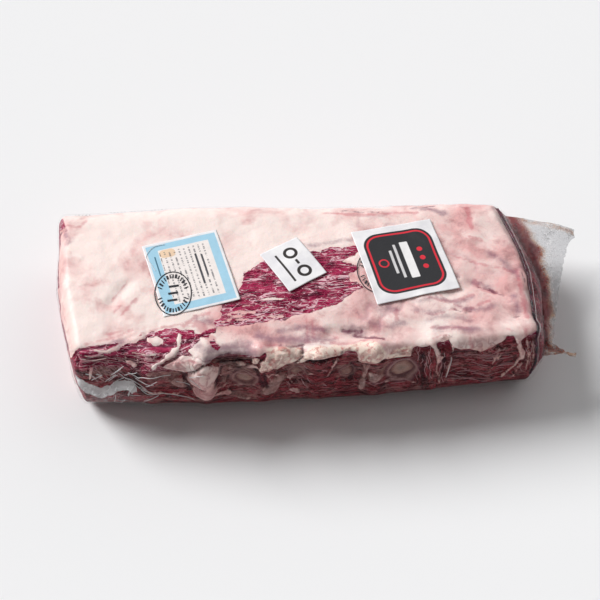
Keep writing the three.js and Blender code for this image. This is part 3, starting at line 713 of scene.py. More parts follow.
def makeRoast():
    box, faces = blockGrid(2 * half, meat["cells"])
    # Finer cells towards the rib side and the top
    box[:, 1] = half[1] * (2 * (0.5 + box[:, 1] / (2 * half[1])) ** 1.3 - 1)
    box[:, 2] = half[2] * (1 - 2 * (0.5 - box[:, 2] / (2 * half[2])) ** 1.15)
    point, facing, offFloor = roastPoint(box)
    fields, raised, cover, ribSide = meatFields(box, point, facing)
    # Relief: lumps and folds of fat, grain in the lean, raised pieces, and grooves at seams and scars
    inLean = smooth(fields["lean"], -0.5, 1.5)
    lumpy = 1.5 * noiseAt(point, 8, 16) + 1.2 * noiseAt(point, 4, 17) - 0.6
    relief = 0.9 * noiseAt(point, 26, 11) + 0.45 * noiseAt(point, 9, 12) - 1.6 * fields["fold"]
    relief += inLean * (0.45 * noiseAt(point, 3.4, 13, (3.5, 1, 1)) - 0.6)
    relief += ribSide * inLean * (1.3 * noiseAt(point, 12, 14) + 0.8 * noiseAt(point, 5, 15) - meat["sunk"])
    relief += raised + smooth(cover, -1, 3) * lumpy
    # The dark strokes, painted shade, are sunk as grooves as well
    relief -= (1.0 + 0.9 * ribSide) * smooth(fields["darkSlitsAndShade"], -1.8, 0.8)
    relief -= 1.6 * ribSide * np.exp(-((fields["scar"] - 0.62) / 0.14) ** 2) * fields["scarPale"]
    relief -= 0.8 * ribSide
    relief = np.minimum(relief, 0.4)
    point = point + facing * (relief * offFloor - meat["inset"])[:, None]
    point[:, 2] = np.maximum(point[:, 2], 0.3 - shift[2])
    addPiece("ribRoast", point, faces, rawBeef(fields), "beef", "vacuum_bag", fields)


makeRoast()
print("roast made")


film = {"cells": (190, 84, 40), "span": 0.45, "thick": 0.25}


def vacuumFilm(name, haze, streaks=0.55, tint="#ffffff"):
    # Clear multilayer polyethylene and nylon film: glossy and thin, milky only where it is creased; that
    # milky white on crinkles, creases and seal specks also stands in for their highlights, as painted
    # highlight
    material, add = newMaterial(name)
    place = add("TexCoord").outputs["Object"]
    loose, juice, seal = [add("Attribute", attribute_name=key).outputs["Fac"]
                          for key in ("loose", "juice", "seal")]
    fine = add("TexNoise", {"Vector": place, "Scale": mm(6), "Detail": 4, "Distortion": 1.4})
    tight = add("TexNoise", {"Vector": place, "Scale": mm(26), "Detail": 3})
    height = add("Math", {0: fine, 1: loose}, operation="MULTIPLY")
    height = add("Math", {0: fine, 1: 0.12, 2: height}, operation="MULTIPLY_ADD")
    height = add("Math", {0: tight, 1: 0.5, 2: height}, operation="MULTIPLY_ADD")
    bump = add("Bump", {"Height": height, "Strength": 0.6, "Distance": 0.002})
    # Meat juice behind the film: dark red where it is deep, tan where it thins out
    streak = add("Mapping", {"Vector": place, "Scale": (1.6, 0.5, 1)})
    stain = add("TexNoise", {"Vector": streak, "Scale": mm(9), "Detail": 4})
    deep = add("Math", {0: stain, 1: 0.9, 2: -0.45}, operation="MULTIPLY_ADD")
    deep = add("Math", {0: juice, 1: deep}, operation="ADD", use_clamp=True)
    stain = add("ValToRGB", {"Fac": deep}, stops=((0.0, "#eee8e2"), (0.25, "#dab295"), (0.5, "#ae6c58"),
                                                  (0.78, "#862a30"), (1.0, "#5a0c1a")))
    stained = add("MapRange", {"Value": juice, "From Max": 0.4})
    colour = add("Mix", {0: stained, 6: "#f6f5f6", 7: stain}, data_type="RGBA").outputs[2]
    shine = add("BsdfAnisotropic", {"Roughness": 0.13, "Normal": bump})
    milk = add("BsdfPrincipled", {"Base Color": colour, "Roughness": 0.3, "IOR": 1.5, "Normal": bump})
    clear = add("BsdfTransparent", {"Color": tint})
    edge = add("LayerWeight", {"Blend": 0.5, "Normal": bump}).outputs["Facing"]
    edge = add("Math", {0: edge, 1: 5.0}, operation="POWER")
    edge = add("Math", {0: edge, 1: 0.28, 2: 0.003}, operation="MULTIPLY_ADD")
    edge = add("Math", {0: loose, 1: 0.06, 2: edge}, operation="MULTIPLY_ADD")
    glossy = add("MixShader", {0: edge, 1: clear, 2: shine})
    # White streaks on the crinkles and specks along the seal: partly whitened film, partly painted
    # highlight
    crease = add("MapRange", {"Value": fine, "From Min": 0.54, "From Max": 0.72, "To Max": streaks})
    cover = add("Math", {0: loose, 1: 2.0}, operation="POWER")
    cover = add("Math", {0: cover, 1: crease}, operation="MULTIPLY")
    speck = add("TexNoise", {"Vector": place, "Scale": mm(1.8), "Detail": 1})
    speck = add("MapRange", {"Value": speck, "From Min": 0.5, "From Max": 0.6, "To Max": 0.7})
    cover = add("Math", {0: seal, 1: speck, 2: cover}, operation="MULTIPLY_ADD")
    cover = add("Math", {0: cover, 1: haze}, operation="ADD")
    cover = add("Math", {0: juice, 1: 0.92, 2: cover}, operation="MULTIPLY_ADD", use_clamp=True)
    mixed = add("MixShader", {0: cover, 1: glossy, 2: milk})
    add("OutputMaterial", {"Surface": mixed})
    return material


def makeFilm(material):
    box, faces = blockGrid(2 * half, film["cells"])
    point, facing, offFloor = roastPoint(box, 0.0, film["span"])
    # The film is taut but on the rib side, and crumpled at its lower left corner
    ribSide = smooth(-point[:, 1], 66, 84) * smooth(point[:, 2], 6, 20)
    loose = ribSide * 0.12
    corner = np.exp(-(distanceToLine(point, (-184, -76, 30), (-130, -92, 24)) / 13) ** 2)
    loose = np.maximum(loose, corner)
    folds = ribSide * 0.35 * noiseAt(point, 7, 21, (3, 1, 0.8)) + corner * 1.2 * noiseAt(point, 5, 22)
    point = point + facing * (folds * offFloor)[:, None]
    point[:, 2] = np.maximum(point[:, 2], -shift[2])
    addPiece("bagFilm", point, faces, material, "film", "vacuum_bag",
             {"loose": loose, "juice": np.zeros(len(point))})


def makeFlap(material):
    box, faces = blockGrid((1, 1, film["thick"]), (80, 170, 1))
    out, toFront = box[:, 0] + 0.5, 0.5 - box[:, 1]
    edge = np.stack([out * 40, toFront * 142, np.zeros(len(out))], axis=1)
    alongEdge = edge * np.array([0, 1, 1])
    coarse, fine = flap["ragged"]
    ragged = 1 - coarse * (1 + noiseAt(alongEdge, 14, 35)) - fine * noiseAt(alongEdge, 4, 39)
    point = flapPoint(out * ragged, toFront, box[:, 2])
    crinkle = 1.4 * noiseAt(edge, 11, 31) + 1.1 * noiseAt(edge, 4.5, 32, (1, 2, 1))
    crinkle += 0.5 * noiseAt(edge, 2.2, 36)
    point[:, 2] += crinkle * smooth(out, 0.1, 0.4)
    beyond = point[:, 0] - np.interp(point[:, 1], flap["juiceY"], flap["juiceX"])
    # Juice is deepest by the rim and fades outwards, and a little stands along the front edge; its dark by
    # the rim is partly painted shade, for the shaded end of the roast behind the flap
    juice = 1 - smooth(beyond + 4.0 * noiseAt(edge, 12, 34), 3, 19)
    # Less juice towards the back, where the flap is lit, and more towards the front, in the roast's shadow:
    # partly painted light and shade
    juice *= 0.74 + 0.26 * smooth(toFront + 0.08 * noiseAt(edge, 9, 33), 0.08, 0.4)
    juice = np.maximum(juice, 0.42 * smooth(0.07 - toFront, 0, 0.05)
                       * smooth(noiseAt(edge, 9, 40), -0.5, 0.2))
    # The seal is a faint band across the flap
    fromSeal = out * ragged - flap["sealAt"] + 0.02 * noiseAt(edge, 20, 37)
    band = np.exp(-(fromSeal / flap["sealWide"]) ** 2)
    rimmed = np.maximum(smooth(out, 0.94, 0.99), smooth(0.03 - toFront, 0, 0.02))
    loose = np.clip(0.55 + 0.3 * noiseAt(edge, 14, 38) + 0.5 * rimmed + 0.3 * smooth(out, 0.7, 1), 0, 1)
    addPiece("bagFlap", point, faces, material, "film", "vacuum_bag",
             {"loose": loose, "juice": juice, "seal": band})


def makeEar(material):
    # The sheet is wider than the solid's ear, because it is crumpled
    box, faces = blockGrid((1, ear["spare"] * ear["width"], ear["thick"]), (60, 30, 1))
    out = box[:, 0] + 0.5
    root, tip = np.array(ear["root"], float), np.array(ear["tip"], float)
    heading = math.atan2(tip[1] - root[1], tip[0] - root[0])
    turn = math.radians(ear["turn"]) * out
    flat = box * np.array([ear["crumpled"], 1, 0])
    crumple = 2.0 * noiseAt(flat, 6, 51) + 0.8 * noiseAt(flat, 3, 52)
    across, lift = box[:, 1] * (1 - 0.6 * out), box[:, 2] + crumple * smooth(out, 0.05, 0.3)
    side = across * np.cos(turn) - lift * np.sin(turn)
    up = across * np.sin(turn) + lift * np.cos(turn)
    point = root + out[:, None] * (tip - root)
    point += side[:, None] * np.array([-math.sin(heading), math.cos(heading), 0])
    point[:, 2] += up
    point[:, 2] += ear["rise"] * out
    juice = 0.62 * (1 - 0.4 * smooth(out, 0.5, 0.95)) * smooth(noiseAt(point, 5, 53), -0.9, 0.1)
    addPiece("bagEar", point, faces, material, "film", "vacuum_bag",
             {"loose": np.full(len(point), 1.0), "juice": juice})


# The gathered film at the lower left: a crumpled band that lies over the corner, white with the creased
# film's milk, which partly stands in for its highlights
gather = {
    "path": [(-205, 74), (-197, 76), (-190, 81), (-180, 88), (-170, 86.5), (-160, 82), (-150, 79.5),
             (-144, 79.5), (-141, 86), (-140, 92)],
    "width": 5.5, "proud": 0.4, "ledge": 7,        # the ledge's foot stands out, so that it catches light
}


def smoothPath(points, steps):
    points = np.array(points, float)
    padded = np.vstack([2 * points[0] - points[1], points, 2 * points[-1] - points[-2]])
    at = np.linspace(0, len(points) - 1 - 1e-9, steps)
    i, t = at.astype(int), (at % 1)[:, None]
    a, b, c, d = padded[i], padded[i + 1], padded[i + 2], padded[i + 3]
    square, cube = 2 * a - 5 * b + 4 * c - d, 3 * b - a - 3 * c + d
    return 0.5 * (2 * b + (c - a) * t + square * t ** 2 + cube * t ** 3)


# A path across the roast's surface through unrolled places
def surfacePath(places, lift, steps, slack):
    x, v = smoothPath(places, steps).T
    edge, y = half[1] + meat["zeroY"], meat["zeroY"] - v
    box = np.stack([x, np.maximum(y, -half[1]), half[2] - np.clip(v - edge, 0, 2 * half[2])], axis=1)
    on, _, _ = roastPoint(np.clip(box, -half, half), lift, slack)
    return on


def makeGather(material):
    steps = 110
    path = surfacePath(gather["path"], 0.0, steps + 1, film["span"])
    box, faces = blockGrid((1, 1, 1), (steps, 16, 1))
    along = box[:, 0] + 0.5
    row = np.rint(along * steps).astype(int)
    outward = np.array([-0.15, -1.0, -0.1])
    outward = outward / np.linalg.norm(outward)
    forward = np.gradient(path, axis=0)[row]
    forward /= np.linalg.norm(forward, axis=1, keepdims=True)
    side = np.cross(forward, outward)
    flat = np.stack([along * 60, box[:, 1] * gather["width"], np.zeros(len(box))], axis=1)
    wide = gather["width"] * (0.3 + 0.7 * np.sin(np.pi * np.clip(along, 0.02, 0.98)))
    edges = np.stack([along * 60, along * 0, np.sign(box[:, 1]) * 9], axis=1)
    wide = wide * (1 + 0.45 * noiseAt(edges, 8, 63))
    crumple = 3.0 * np.abs(noiseAt(flat, 6, 61, (1.4, 0.8, 1)))
    crumple = crumple + 1.5 * np.abs(noiseAt(flat, 3, 62, (1, 0.8, 1))) - 1.0
    point = path[row] + side * (box[:, 1] * wide)[:, None]
    ledge = gather["ledge"] * (box[:, 1] + 0.5) * smooth(along, 0, 0.2) * (1 - smooth(along, 0.85, 1))
    point += outward * (gather["proud"] + ledge + crumple + 0.3 * (box[:, 2] + 0.5))[:, None]
    addPiece("filmGather", point, faces, material, "film", "vacuum_bag",
             {"loose": np.full(len(point), 1.0), "juice": np.zeros(len(point))})


filmMaterial = vacuumFilm("vacuum film, clear", 0.0)
# Creased film: milky enough to show white, partly whitened film and partly painted highlight along its
# creases
creasedFilmHighlight = vacuumFilm("vacuum film, creased", 0.6, 0.9)
makeFilm(filmMaterial)
looseFilm = vacuumFilm("vacuum film, loose", 0.02, 0.85, "#ececed")
makeFlap(looseFilm)
makeEar(looseFilm)
makeGather(creasedFilmHighlight)
print("film made")


# A new tree of geometry nodes with the named inputs, and the call that adds nodes to it
def newTree(name, **inputs):
    tree = bpy.data.node_groups.new(name, "GeometryNodeTree")
    for key, kind in inputs.items():
        tree.interface.new_socket(key, in_out="INPUT", socket_type="NodeSocket" + kind)
    tree.interface.new_socket("Geometry", in_out="OUTPUT", socket_type="NodeSocketGeometry")
    return tree, partial(addNode, tree)


# Every edge path becomes a round strand that thins to its ends
def strandTree(material):
    tree, add = newTree("strands", Paths="Geometry", Thickness="Float", Sides="Int")
    given = add("NodeGroupInput")
    curves = add("GeometryNodeMeshToCurve", {"Mesh": given.outputs["Paths"]})
    place = add("GeometryNodeSplineParameter")
    arch = add("Math", {0: place.outputs["Factor"], 1: math.pi}, operation="MULTIPLY")
    arch = add("Math", {0: arch}, operation="SINE")
    taper = add("Math", {0: arch, 1: 0.85, 2: 0.15}, operation="MULTIPLY_ADD")
    sized = add("GeometryNodeSetCurveRadius", {"Curve": curves, "Radius": taper})
    ring = add("GeometryNodeCurvePrimitiveCircle", {"Resolution": given.outputs["Sides"],
                                                    "Radius": given.outputs["Thickness"]})
    tube = add("GeometryNodeCurveToMesh", {"Curve": sized, "Profile Curve": ring, "Fill Caps": True})
    soft = add("GeometryNodeSetShadeSmooth", {"Geometry": tube})
    real = add("GeometryNodeRealizeInstances", {"Geometry": soft})
    dressed = add("GeometryNodeSetMaterial", {"Geometry": real, "Material": material})
    add("NodeGroupOutput", {0: dressed})
    return tree


# Runs a node tree on a mesh and gives back the plain mesh that comes out
def grown(name, mesh, tree, values):
    holder = bpy.data.objects.new(name, mesh)
    bpy.context.scene.collection.objects.link(holder)
    modifier = holder.modifiers.new("nodes", "NODES")
    modifier.node_group = tree
    for item in tree.interface.items_tree:
        if item.item_type == "SOCKET" and item.in_out == "INPUT" and item.name in values:
            modifier[item.identifier] = values[item.name]
    result = bpy.data.meshes.new_from_object(holder.evaluated_get(bpy.context.evaluated_depsgraph_get()))
    bpy.data.objects.remove(holder)
    return result


def makeStrands(name, paths, thickness, material, slot):
    points, edges = [], []
    for path in paths:
        start = len(points)
        points.extend(toFrame(path).tolist())
        edges.extend((start + i, start + i + 1) for i in range(len(path) - 1))
    mesh = bpy.data.meshes.new(name + "Paths")
    mesh.from_pydata(points, edges, [])
    result = grown(name, mesh, strandTree(material), {"Thickness": thickness / 1000, "Sides": 6})
    placePiece(name, result, slot, "vacuum_bag")


# Creases in the film: thin strands of creased film, whose milky white stands in for the highlights along
# them as painted highlight
creases = {
    "thickness": 0.3, "lift": 0.25,
    "drawn": [
        [(-150, 69), (-146, 66), (-140, 64), (-137, 62.5)],
        [(-139, 71), (-134, 66), (-128, 63.5), (-120, 64), (-108, 64)],
        [(-138, 72), (-130, 71.5), (-123, 73.5)],
        [(-155, 67), (-150, 73), (-143, 75), (-136, 80), (-130, 84)],
        [(-135, 88), (-130, 91), (-120, 92), (-110, 94), (-100, 97), (-90, 98.5)],
        [(-133, 103), (-127, 98), (-120, 94.5)], [(-163, 98), (-164, 104), (-166, 110)],
        [(-164, 81), (-157, 77), (-150, 72)], [(-162, 82), (-154, 80), (-147, 78)],
        [(-201, 79), (-197, 85), (-190, 92), (-186, 97)], [(-203, 82), (-199, 88), (-192, 95)],
        [(-146, 88), (-147, 94), (-149, 99)], [(-141, 80), (-136, 86), (-130, 88)],
        [(-112, -77), (-122, -74), (-128, -64), (-124, -56), (-120, -48)],
        [(128.6, 60), (129, 70), (128, 80), (126, 92)],
        [(-206, 72), (-199, 74), (-192, 80), (-186, 88), (-178, 93)],
        [(-204, 76), (-197, 80), (-190, 88), (-182, 95)],
        [(-199, 76), (-190, 81), (-181, 87), (-170, 86), (-158, 82)],
        [(-184, 92), (-174, 93), (-164, 89), (-152, 84)],
        [(-152, 83), (-145, 81.5), (-141, 86), (-142, 93)], [(-151, 86), (-147, 90), (-149, 97)],
    ],
    # Short ones at random places: count, x, v, length, slope, bend
    "scattered": 18, "x": (-200, -90), "v": (62, 104), "length": (5, 14), "slope": (-0.9, 0.9),
    "bend": (-2, 2),
}


def makeCreases():
    draw = random.Random(7)
    paths = [surfacePath(p, creases["lift"], 24, film["span"]) for p in creases["drawn"]]
    for _ in range(creases["scattered"]):
        x, v, length, lean, bend = [draw.uniform(*creases[key])
                                    for key in ("x", "v", "length", "slope", "bend")]
        paths.append(surfacePath([(x, v), (x + length / 2, v + lean * length / 2 + bend),
                                  (x + length, v + lean * length)], creases["lift"] - 0.1, 16,
                                 film["span"]))
    makeStrands("filmCreases", paths, creases["thickness"], creasedFilmHighlight, "film")


makeCreases()
print("creases made")


# The rim of the cut right end: dark juice gathered in the fold of the film, and the fold's own edge, a thin
# whitish strand that is a painted highlight beside it
rimFold = {
    "path": [(203, -128), (204.5, -100), (204.5, -60), (204.5, -20), (204, 20), (203, 38), (202, 50),
             (200, 66), (199, 84), (196, 100)],
    "juice": 1.1, "edge": 0.12, "offset": (1.6, 0, 0.4), "steps": 150, "shaken": 0.5,
}


# A material whose colour wanders between two tones where a noise goes from low to high
def mottled(name, size, detail, between, tones, surface):
    material, add = newMaterial(name)
    place = add("TexCoord").outputs["Object"]
    wander = add("TexNoise", {"Vector": place, "Scale": mm(size), "Detail": detail})
    wander = add("MapRange", {"Value": wander, "From Min": between[0], "From Max": between[1]})
    colour = add("Mix", {0: wander, 6: tones[0], 7: tones[1]}, data_type="RGBA").outputs[2]
    surface = add("BsdfPrincipled", {"Base Color": colour, **surface})
    add("OutputMaterial", {"Surface": surface})
    return material


# Blood and juice held in a fold of film: nearly black, wet
pooledJuice = mottled("meat juice, pooled", 9, 3, (0.4, 0.65), ("#1c0b16", "#5a2036"),
                      {"Roughness": 0.22, "Specular IOR Level": 0.3})


def makeRim():
    fold = surfacePath(rimFold["path"], -0.5, rimFold["steps"], film["span"])
    fold = fold + rimFold["shaken"] * shake(fold, 9, 71, 72, 73)
    makeStrands("rimJuice", [fold], rimFold["juice"], pooledJuice, "beef")
    # The fold's edge: a thin strand of creased film, a painted highlight line along the rim
    edge = surfacePath(rimFold["path"], 0.15, rimFold["steps"], film["span"]) + rimFold["offset"]
    edge += rimFold["shaken"] * shake(edge, 12, 74, 75, 76)
    makeStrands("rimFoldHighlight", [edge], rimFold["edge"], creasedFilmHighlight, "film")


makeRim()
print("rim made")


labels = {
    "productLabel": {"node": "product_label", "x": -89.7, "y": 1.3, "width": 67, "length": 80, "turn": 14,
                     "lift": (-0.45, -0.2)},
    "gradeLabel": {"node": "grade_label", "x": -1.2, "y": 5.9, "width": 38, "length": 48, "turn": 30,
                   "lift": (0.35, 0.6)},
    "makerLabel": {"node": "maker_label", "x": 95.7, "y": 7.8, "width": 74, "length": 83, "turn": 12.5,
                   "lift": (0.35, 0.6)},
}


# Printed shapes are rounded boxes in the label's own millimetres: middle, size, corner radius, and
# a line width where only the outline is printed
def labelPaper(name, prints, rows=None):
    # Coated label paper, printed: white and smooth with flat ink
    material, add = newMaterial(name)
    uv = add("UVMap", uv_map="UVMap")
    place = add("TexCoord").outputs["Object"]
    wrinkle = add("TexNoise", {"Vector": place, "Scale": mm(12), "Detail": 3})
    bump = add("Bump", {"Height": wrinkle, "Strength": 0.35, "Distance": 0.002})
    # Greyer where the wrinkles dip: painted shade in their hollows
    tone = add("MapRange", {"Value": wrinkle, "From Min": 0.3, "From Max": 0.7})
    colour = add("Mix", {0: tone, 6: "#e8e6ea", 7: "#f8f6f6"}, data_type="RGBA").outputs[2]
    zero = (0, 0, 0)
    for spec in prints:
        radius = spec.get("radius", 0.5)
        reach = (spec["size"][0] / 2 - radius, spec["size"][1] / 2 - radius, 0)
        q = add("VectorMath", {0: uv, 1: (*spec["at"], 0)}, operation="SUBTRACT")
        steps = (("ABSOLUTE", zero), ("SUBTRACT", reach), ("MAXIMUM", zero), ("LENGTH", zero))
        for operation, other in steps:
            q = add("VectorMath", {0: q, 1: other}, operation=operation)
        gap = add("Math", {0: q.outputs["Value"], 1: radius}, operation="SUBTRACT")
        if "line" in spec:
            gap = add("Math", {0: gap}, operation="ABSOLUTE")
            gap = add("Math", {0: gap, 1: spec["line"] / 2}, operation="SUBTRACT")
        mask = add("MapRange", {"Value": gap, "From Min": 0.2, "From Max": -0.2,
                                "To Max": spec.get("ink", 1.0)})
        colour = add("Mix", {0: mask, 6: colour, 7: spec["colour"]}, data_type="RGBA").outputs[2]
    if rows:
        # Rows of small print as broken dashes, too fine to read
        parts = add("SeparateXYZ", {"Vector": uv})
        count = add("Math", {0: parts.outputs[0], 1: rows["pitch"]}, operation="DIVIDE")
        inRow = add("Math", {0: count}, operation="FRACT")
        inRow = add("Math", {0: inRow, 1: rows["height"]}, operation="LESS_THAN")
        row = add("Math", {0: count}, operation="FLOOR")
        row = add("Math", {0: row, 1: 7.3}, operation="MULTIPLY")
        across = add("Math", {0: parts.outputs[1], 1: 1 / rows["word"]}, operation="MULTIPLY")
        at = add("CombineXYZ", {"X": row, "Y": across})
        word = add("TexNoise", {"Vector": at, "Scale": 1.0, "Detail": 2.5, "Roughness": 0.8})
        word = add("Math", {0: word, 1: rows["empty"]}, operation="GREATER_THAN")
        q = add("VectorMath", {0: uv, 1: (*rows["at"], 0)}, operation="SUBTRACT")
        q = add("VectorMath", {0: q}, operation="ABSOLUTE")
        q = add("VectorMath", {0: (rows["size"][0] / 2, rows["size"][1] / 2, 1), 1: q},
                operation="SUBTRACT")
        q = add("SeparateXYZ", {"Vector": q})
        q = add("Math", {0: q, 1: q.outputs[1]}, operation="MINIMUM")
        ink = add("Math", {0: q, 1: 0.0}, operation="GREATER_THAN")
        for factor in (word, inRow, rows["ink"]):
            ink = add("Math", {0: ink, 1: factor}, operation="MULTIPLY")
        colour = add("Mix", {0: ink, 6: colour, 7: rows["colour"]}, data_type="RGBA").outputs[2]
    surface = add("BsdfPrincipled", {"Base Color": colour, "Roughness": 0.48, "Normal": bump})
    add("OutputMaterial", {"Surface": surface})
    return material


def makeLabel(name, prints, rows=None):
    spec = labels[name]
    size = (spec["width"], spec["length"], 1)
    flat, faces = blockGrid(size, size)
    turn = math.radians(spec["turn"])
    x = flat[:, 0] * math.cos(turn) - flat[:, 1] * math.sin(turn) + spec["x"]
    y = flat[:, 0] * math.sin(turn) + flat[:, 1] * math.cos(turn) + spec["y"]
    low, high = spec["lift"]
    lift = low + (high - low) * (flat[:, 2] + 0.5)
    point, facing, _ = roastPoint(np.stack([x, y, np.full(len(x), half[2])], axis=1), 0.0, film["span"])
    lift = lift + 0.15 * noiseAt(point * np.array([1, 1, 0]), 16, 41)
    point = point + facing * lift[:, None]
    addPiece(name, point, faces, labelPaper(name + " paper, coated", prints, rows), "paper", spec["node"],
             uv=flat[:, :2])


makeLabel("productLabel", [
    {"colour": "#a6d2e8", "at": (0, 0), "size": (62, 75)},
    {"colour": "#f6ede9", "at": (1, 0.5), "size": (45, 61)},
    {"colour": "#eec9a0", "at": (-14, 26), "size": (14, 9), "radius": 4, "ink": 0.8},
    {"colour": "#3f6f86", "at": (-25.5, 14), "size": (1.2, 22), "radius": 0.5},
    {"colour": "#3a3a40", "at": (9, 2), "size": (1.8, 34), "radius": 0.4},
    {"colour": "#3a3a40", "at": (14, 5), "size": (1.6, 24), "radius": 0.4},
], {"at": (0, 0), "size": (42, 56), "pitch": 4.3, "height": 0.34, "word": 1.7, "empty": 0.5, "ink": 0.75,
    "colour": "#56565e"})
makeLabel("gradeLabel", [
    {"colour": "#2a2422", "at": (-8.5, -1), "size": (2.0, 33)},
    {"colour": "#2a2422", "at": (4, 11), "size": (10, 10), "radius": 5, "line": 2.8},
    {"colour": "#2a2422", "at": (4, -0.5), "size": (2.4, 5.5)},
    {"colour": "#2a2422", "at": (4, -12), "size": (10, 10), "radius": 5, "line": 2.8},
])
red = "#e3263a"
makeLabel("makerLabel", [
    {"colour": "#26262a", "at": (0, 0), "size": (62, 69), "radius": 15},
    {"colour": red, "at": (0, 0), "size": (56, 63), "radius": 12.5, "line": 1.8},
    {"colour": "#f3f1f1", "at": (4, 0), "size": (7.5, 42), "radius": 1},
    {"colour": "#d9d7d8", "at": (-5, 0), "size": (2.4, 38), "radius": 0.6},
    {"colour": "#d9d7d8", "at": (-10, 0), "size": (2.4, 26), "radius": 0.6},
    {"colour": red, "at": (16, 10), "size": (5, 5), "radius": 2.5},
    {"colour": red, "at": (16, 0), "size": (5, 5), "radius": 2.5},
    {"colour": red, "at": (16, -10), "size": (5, 5), "radius": 2.5},
    {"colour": red, "at": (-19, 0), "size": (8, 8), "radius": 4, "line": 1.4},
])
print("labels made")


# Ink stamped on the film: an oval ring, marks round it in place of words, and three bars in the middle
stamps = {"middles": [(-104.7, -20.8), (69, -4)], "halfX": 15.5, "halfY": 23, "line": 0.9, "marks": 30,
          "steps": 150, "inner": (0.76, 0.8), "mark": 4.0, "thin": 1.0, "thick": 1.8,
          "bars": (-7.5, 0, 7.5), "bar": (8.5, 2.0), "lift": 0.1}
dashes = [((-188, 80), (-177, 78), 5, 1.6), ((-160, 84), (-112, 88), 17, 1.8)]    # from, to, count, length


# Flexographic ink on film: flat near-black with a slight sheen
printingInk = mottled("printing ink, black", 2.5, 3, (0, 1), ("#17171c", "#35343c"), {"Roughness": 0.4})


# A flat bar on every point, turned and sized by the point's own values
def barTree(material):
    tree, add = newTree("inkBars", Points="Geometry", Thickness="Float")
    given = add("NodeGroupInput")
    values = {}
    for key in ("turn", "long", "wide"):
        values[key] = add("GeometryNodeInputNamedAttribute", {"Name": key}, data_type="FLOAT")
    size = add("CombineXYZ", {"X": values["long"], "Y": values["wide"], "Z": given.outputs["Thickness"]})
    turned = add("CombineXYZ", {"Z": values["turn"]})
    bar = add("GeometryNodeMeshCube", {"Size": (1, 1, 1), "Vertices X": 3, "Vertices Y": 2,
                                       "Vertices Z": 2})
    placed = add("GeometryNodeInstanceOnPoints", {"Points": given.outputs["Points"],
                                                  "Instance": bar.outputs["Mesh"], "Rotation": turned,
                                                  "Scale": size})
    real = add("GeometryNodeRealizeInstances", {"Geometry": placed})
    dressed = add("GeometryNodeSetMaterial", {"Geometry": real, "Material": material})
    add("NodeGroupOutput", {0: dressed})
    return tree


def makeInk():
    bars = []        # x, y, turn, long, wide
    for cx, cy in stamps["middles"]:
        steps = stamps["steps"]
        for i in range(steps):
            a = 2 * math.pi * i / steps
            dx, dy = -stamps["halfX"] * math.sin(a), stamps["halfY"] * math.cos(a)
            turn = math.atan2(dy, dx)
            pace = math.hypot(dx, dy) * 2 * math.pi / steps
            bars.append((cx + stamps["halfX"] * math.cos(a), cy + stamps["halfY"] * math.sin(a), turn,
                         pace * 1.35, stamps["line"]))
        for i in range(stamps["marks"]):
            a = 2 * math.pi * (i + 0.5) / stamps["marks"]
            if abs(math.sin(a)) < 0.16:
                continue
            x = stamps["inner"][0] * stamps["halfX"] * math.cos(a)
            y = stamps["inner"][1] * stamps["halfY"] * math.sin(a)
            bars.append((cx + x, cy + y, math.atan2(y, x), stamps["mark"],
                         stamps["thin"] if i % 3 else stamps["thick"]))
        for step in stamps["bars"]:
            bars.append((cx + 0.08 * step, cy + step, 0.15, *stamps["bar"]))
    for (x0, y0), (x1, y1), count, length in dashes:
        for i in range(count):
            t = i / (count - 1)
            if i % 6 == 5:
                continue
            bars.append((x0 + (x1 - x0) * t, y0 + (y1 - y0) * t, 1.45, length * (0.8 + 0.3 * (i % 2)), 1.1))
    points = bpy.data.meshes.new("inkPoints")
    points.from_pydata([(x, y, 0) for x, y, *_ in bars], [], [])
    for n, key in enumerate(("turn", "long", "wide")):
        layer = points.attributes.new(key, "FLOAT", "POINT")
        layer.data.foreach_set("value", [bar[n + 2] for bar in bars])
    mesh = grown("inkBars", points, barTree(printingInk), {"Thickness": 0.08})
    flat = np.empty(len(mesh.vertices) * 3)
    mesh.vertices.foreach_get("co", flat)
    flat = flat.reshape(-1, 3)
    on = np.stack([flat[:, 0], flat[:, 1], np.full(len(flat), half[2])], axis=1)
    point, facing, _ = roastPoint(on, 0.0, film["span"])
    point = point + facing * (stamps["lift"] + flat[:, 2])[:, None]
    mesh.vertices.foreach_set("co", toFrame(point).ravel())
    mesh.update()
    placePiece("filmPrint", mesh, "ink", "vacuum_bag")


makeInk()
print("ink made")


# Loose threads of sinew and fat that lie on the red meat, under the film
# Zone corners, heading in degrees, count, least and most length
threads = {
    "zones": [
        ((-200, 34), (-92, 54), 8, 54, 6, 20), ((-128, 15), (-92, 24), 4, 12, 6, 16),
        ((-186, 60), (-152, 80), 55, 30, 5, 14),
        ((-66, 56), (-34, 90), 4, 8, 5, 12), ((98, 42), (126, 98), 84, 22, 6, 16),
        ((131, 60), (180, 104), 5, 44, 6, 18),
        ((188, 46), (203, 96), 86, 16, 8, 20), ((-24, 60), (34, 98), 60, 12, 4, 10),
        ((60, 88), (110, 100), 10, 8, 5, 12),
    ],
    "thickness": 0.24, "lift": -2.9, "stray": 14, "bend": 0.12,
}


# Sinew and seam fat: off-white, moist, faintly pink
sinew = mottled("sinew, moist", 14, 3, (0, 1), ("#9a5a66", "#dcb2b4"), {"Roughness": 0.35})


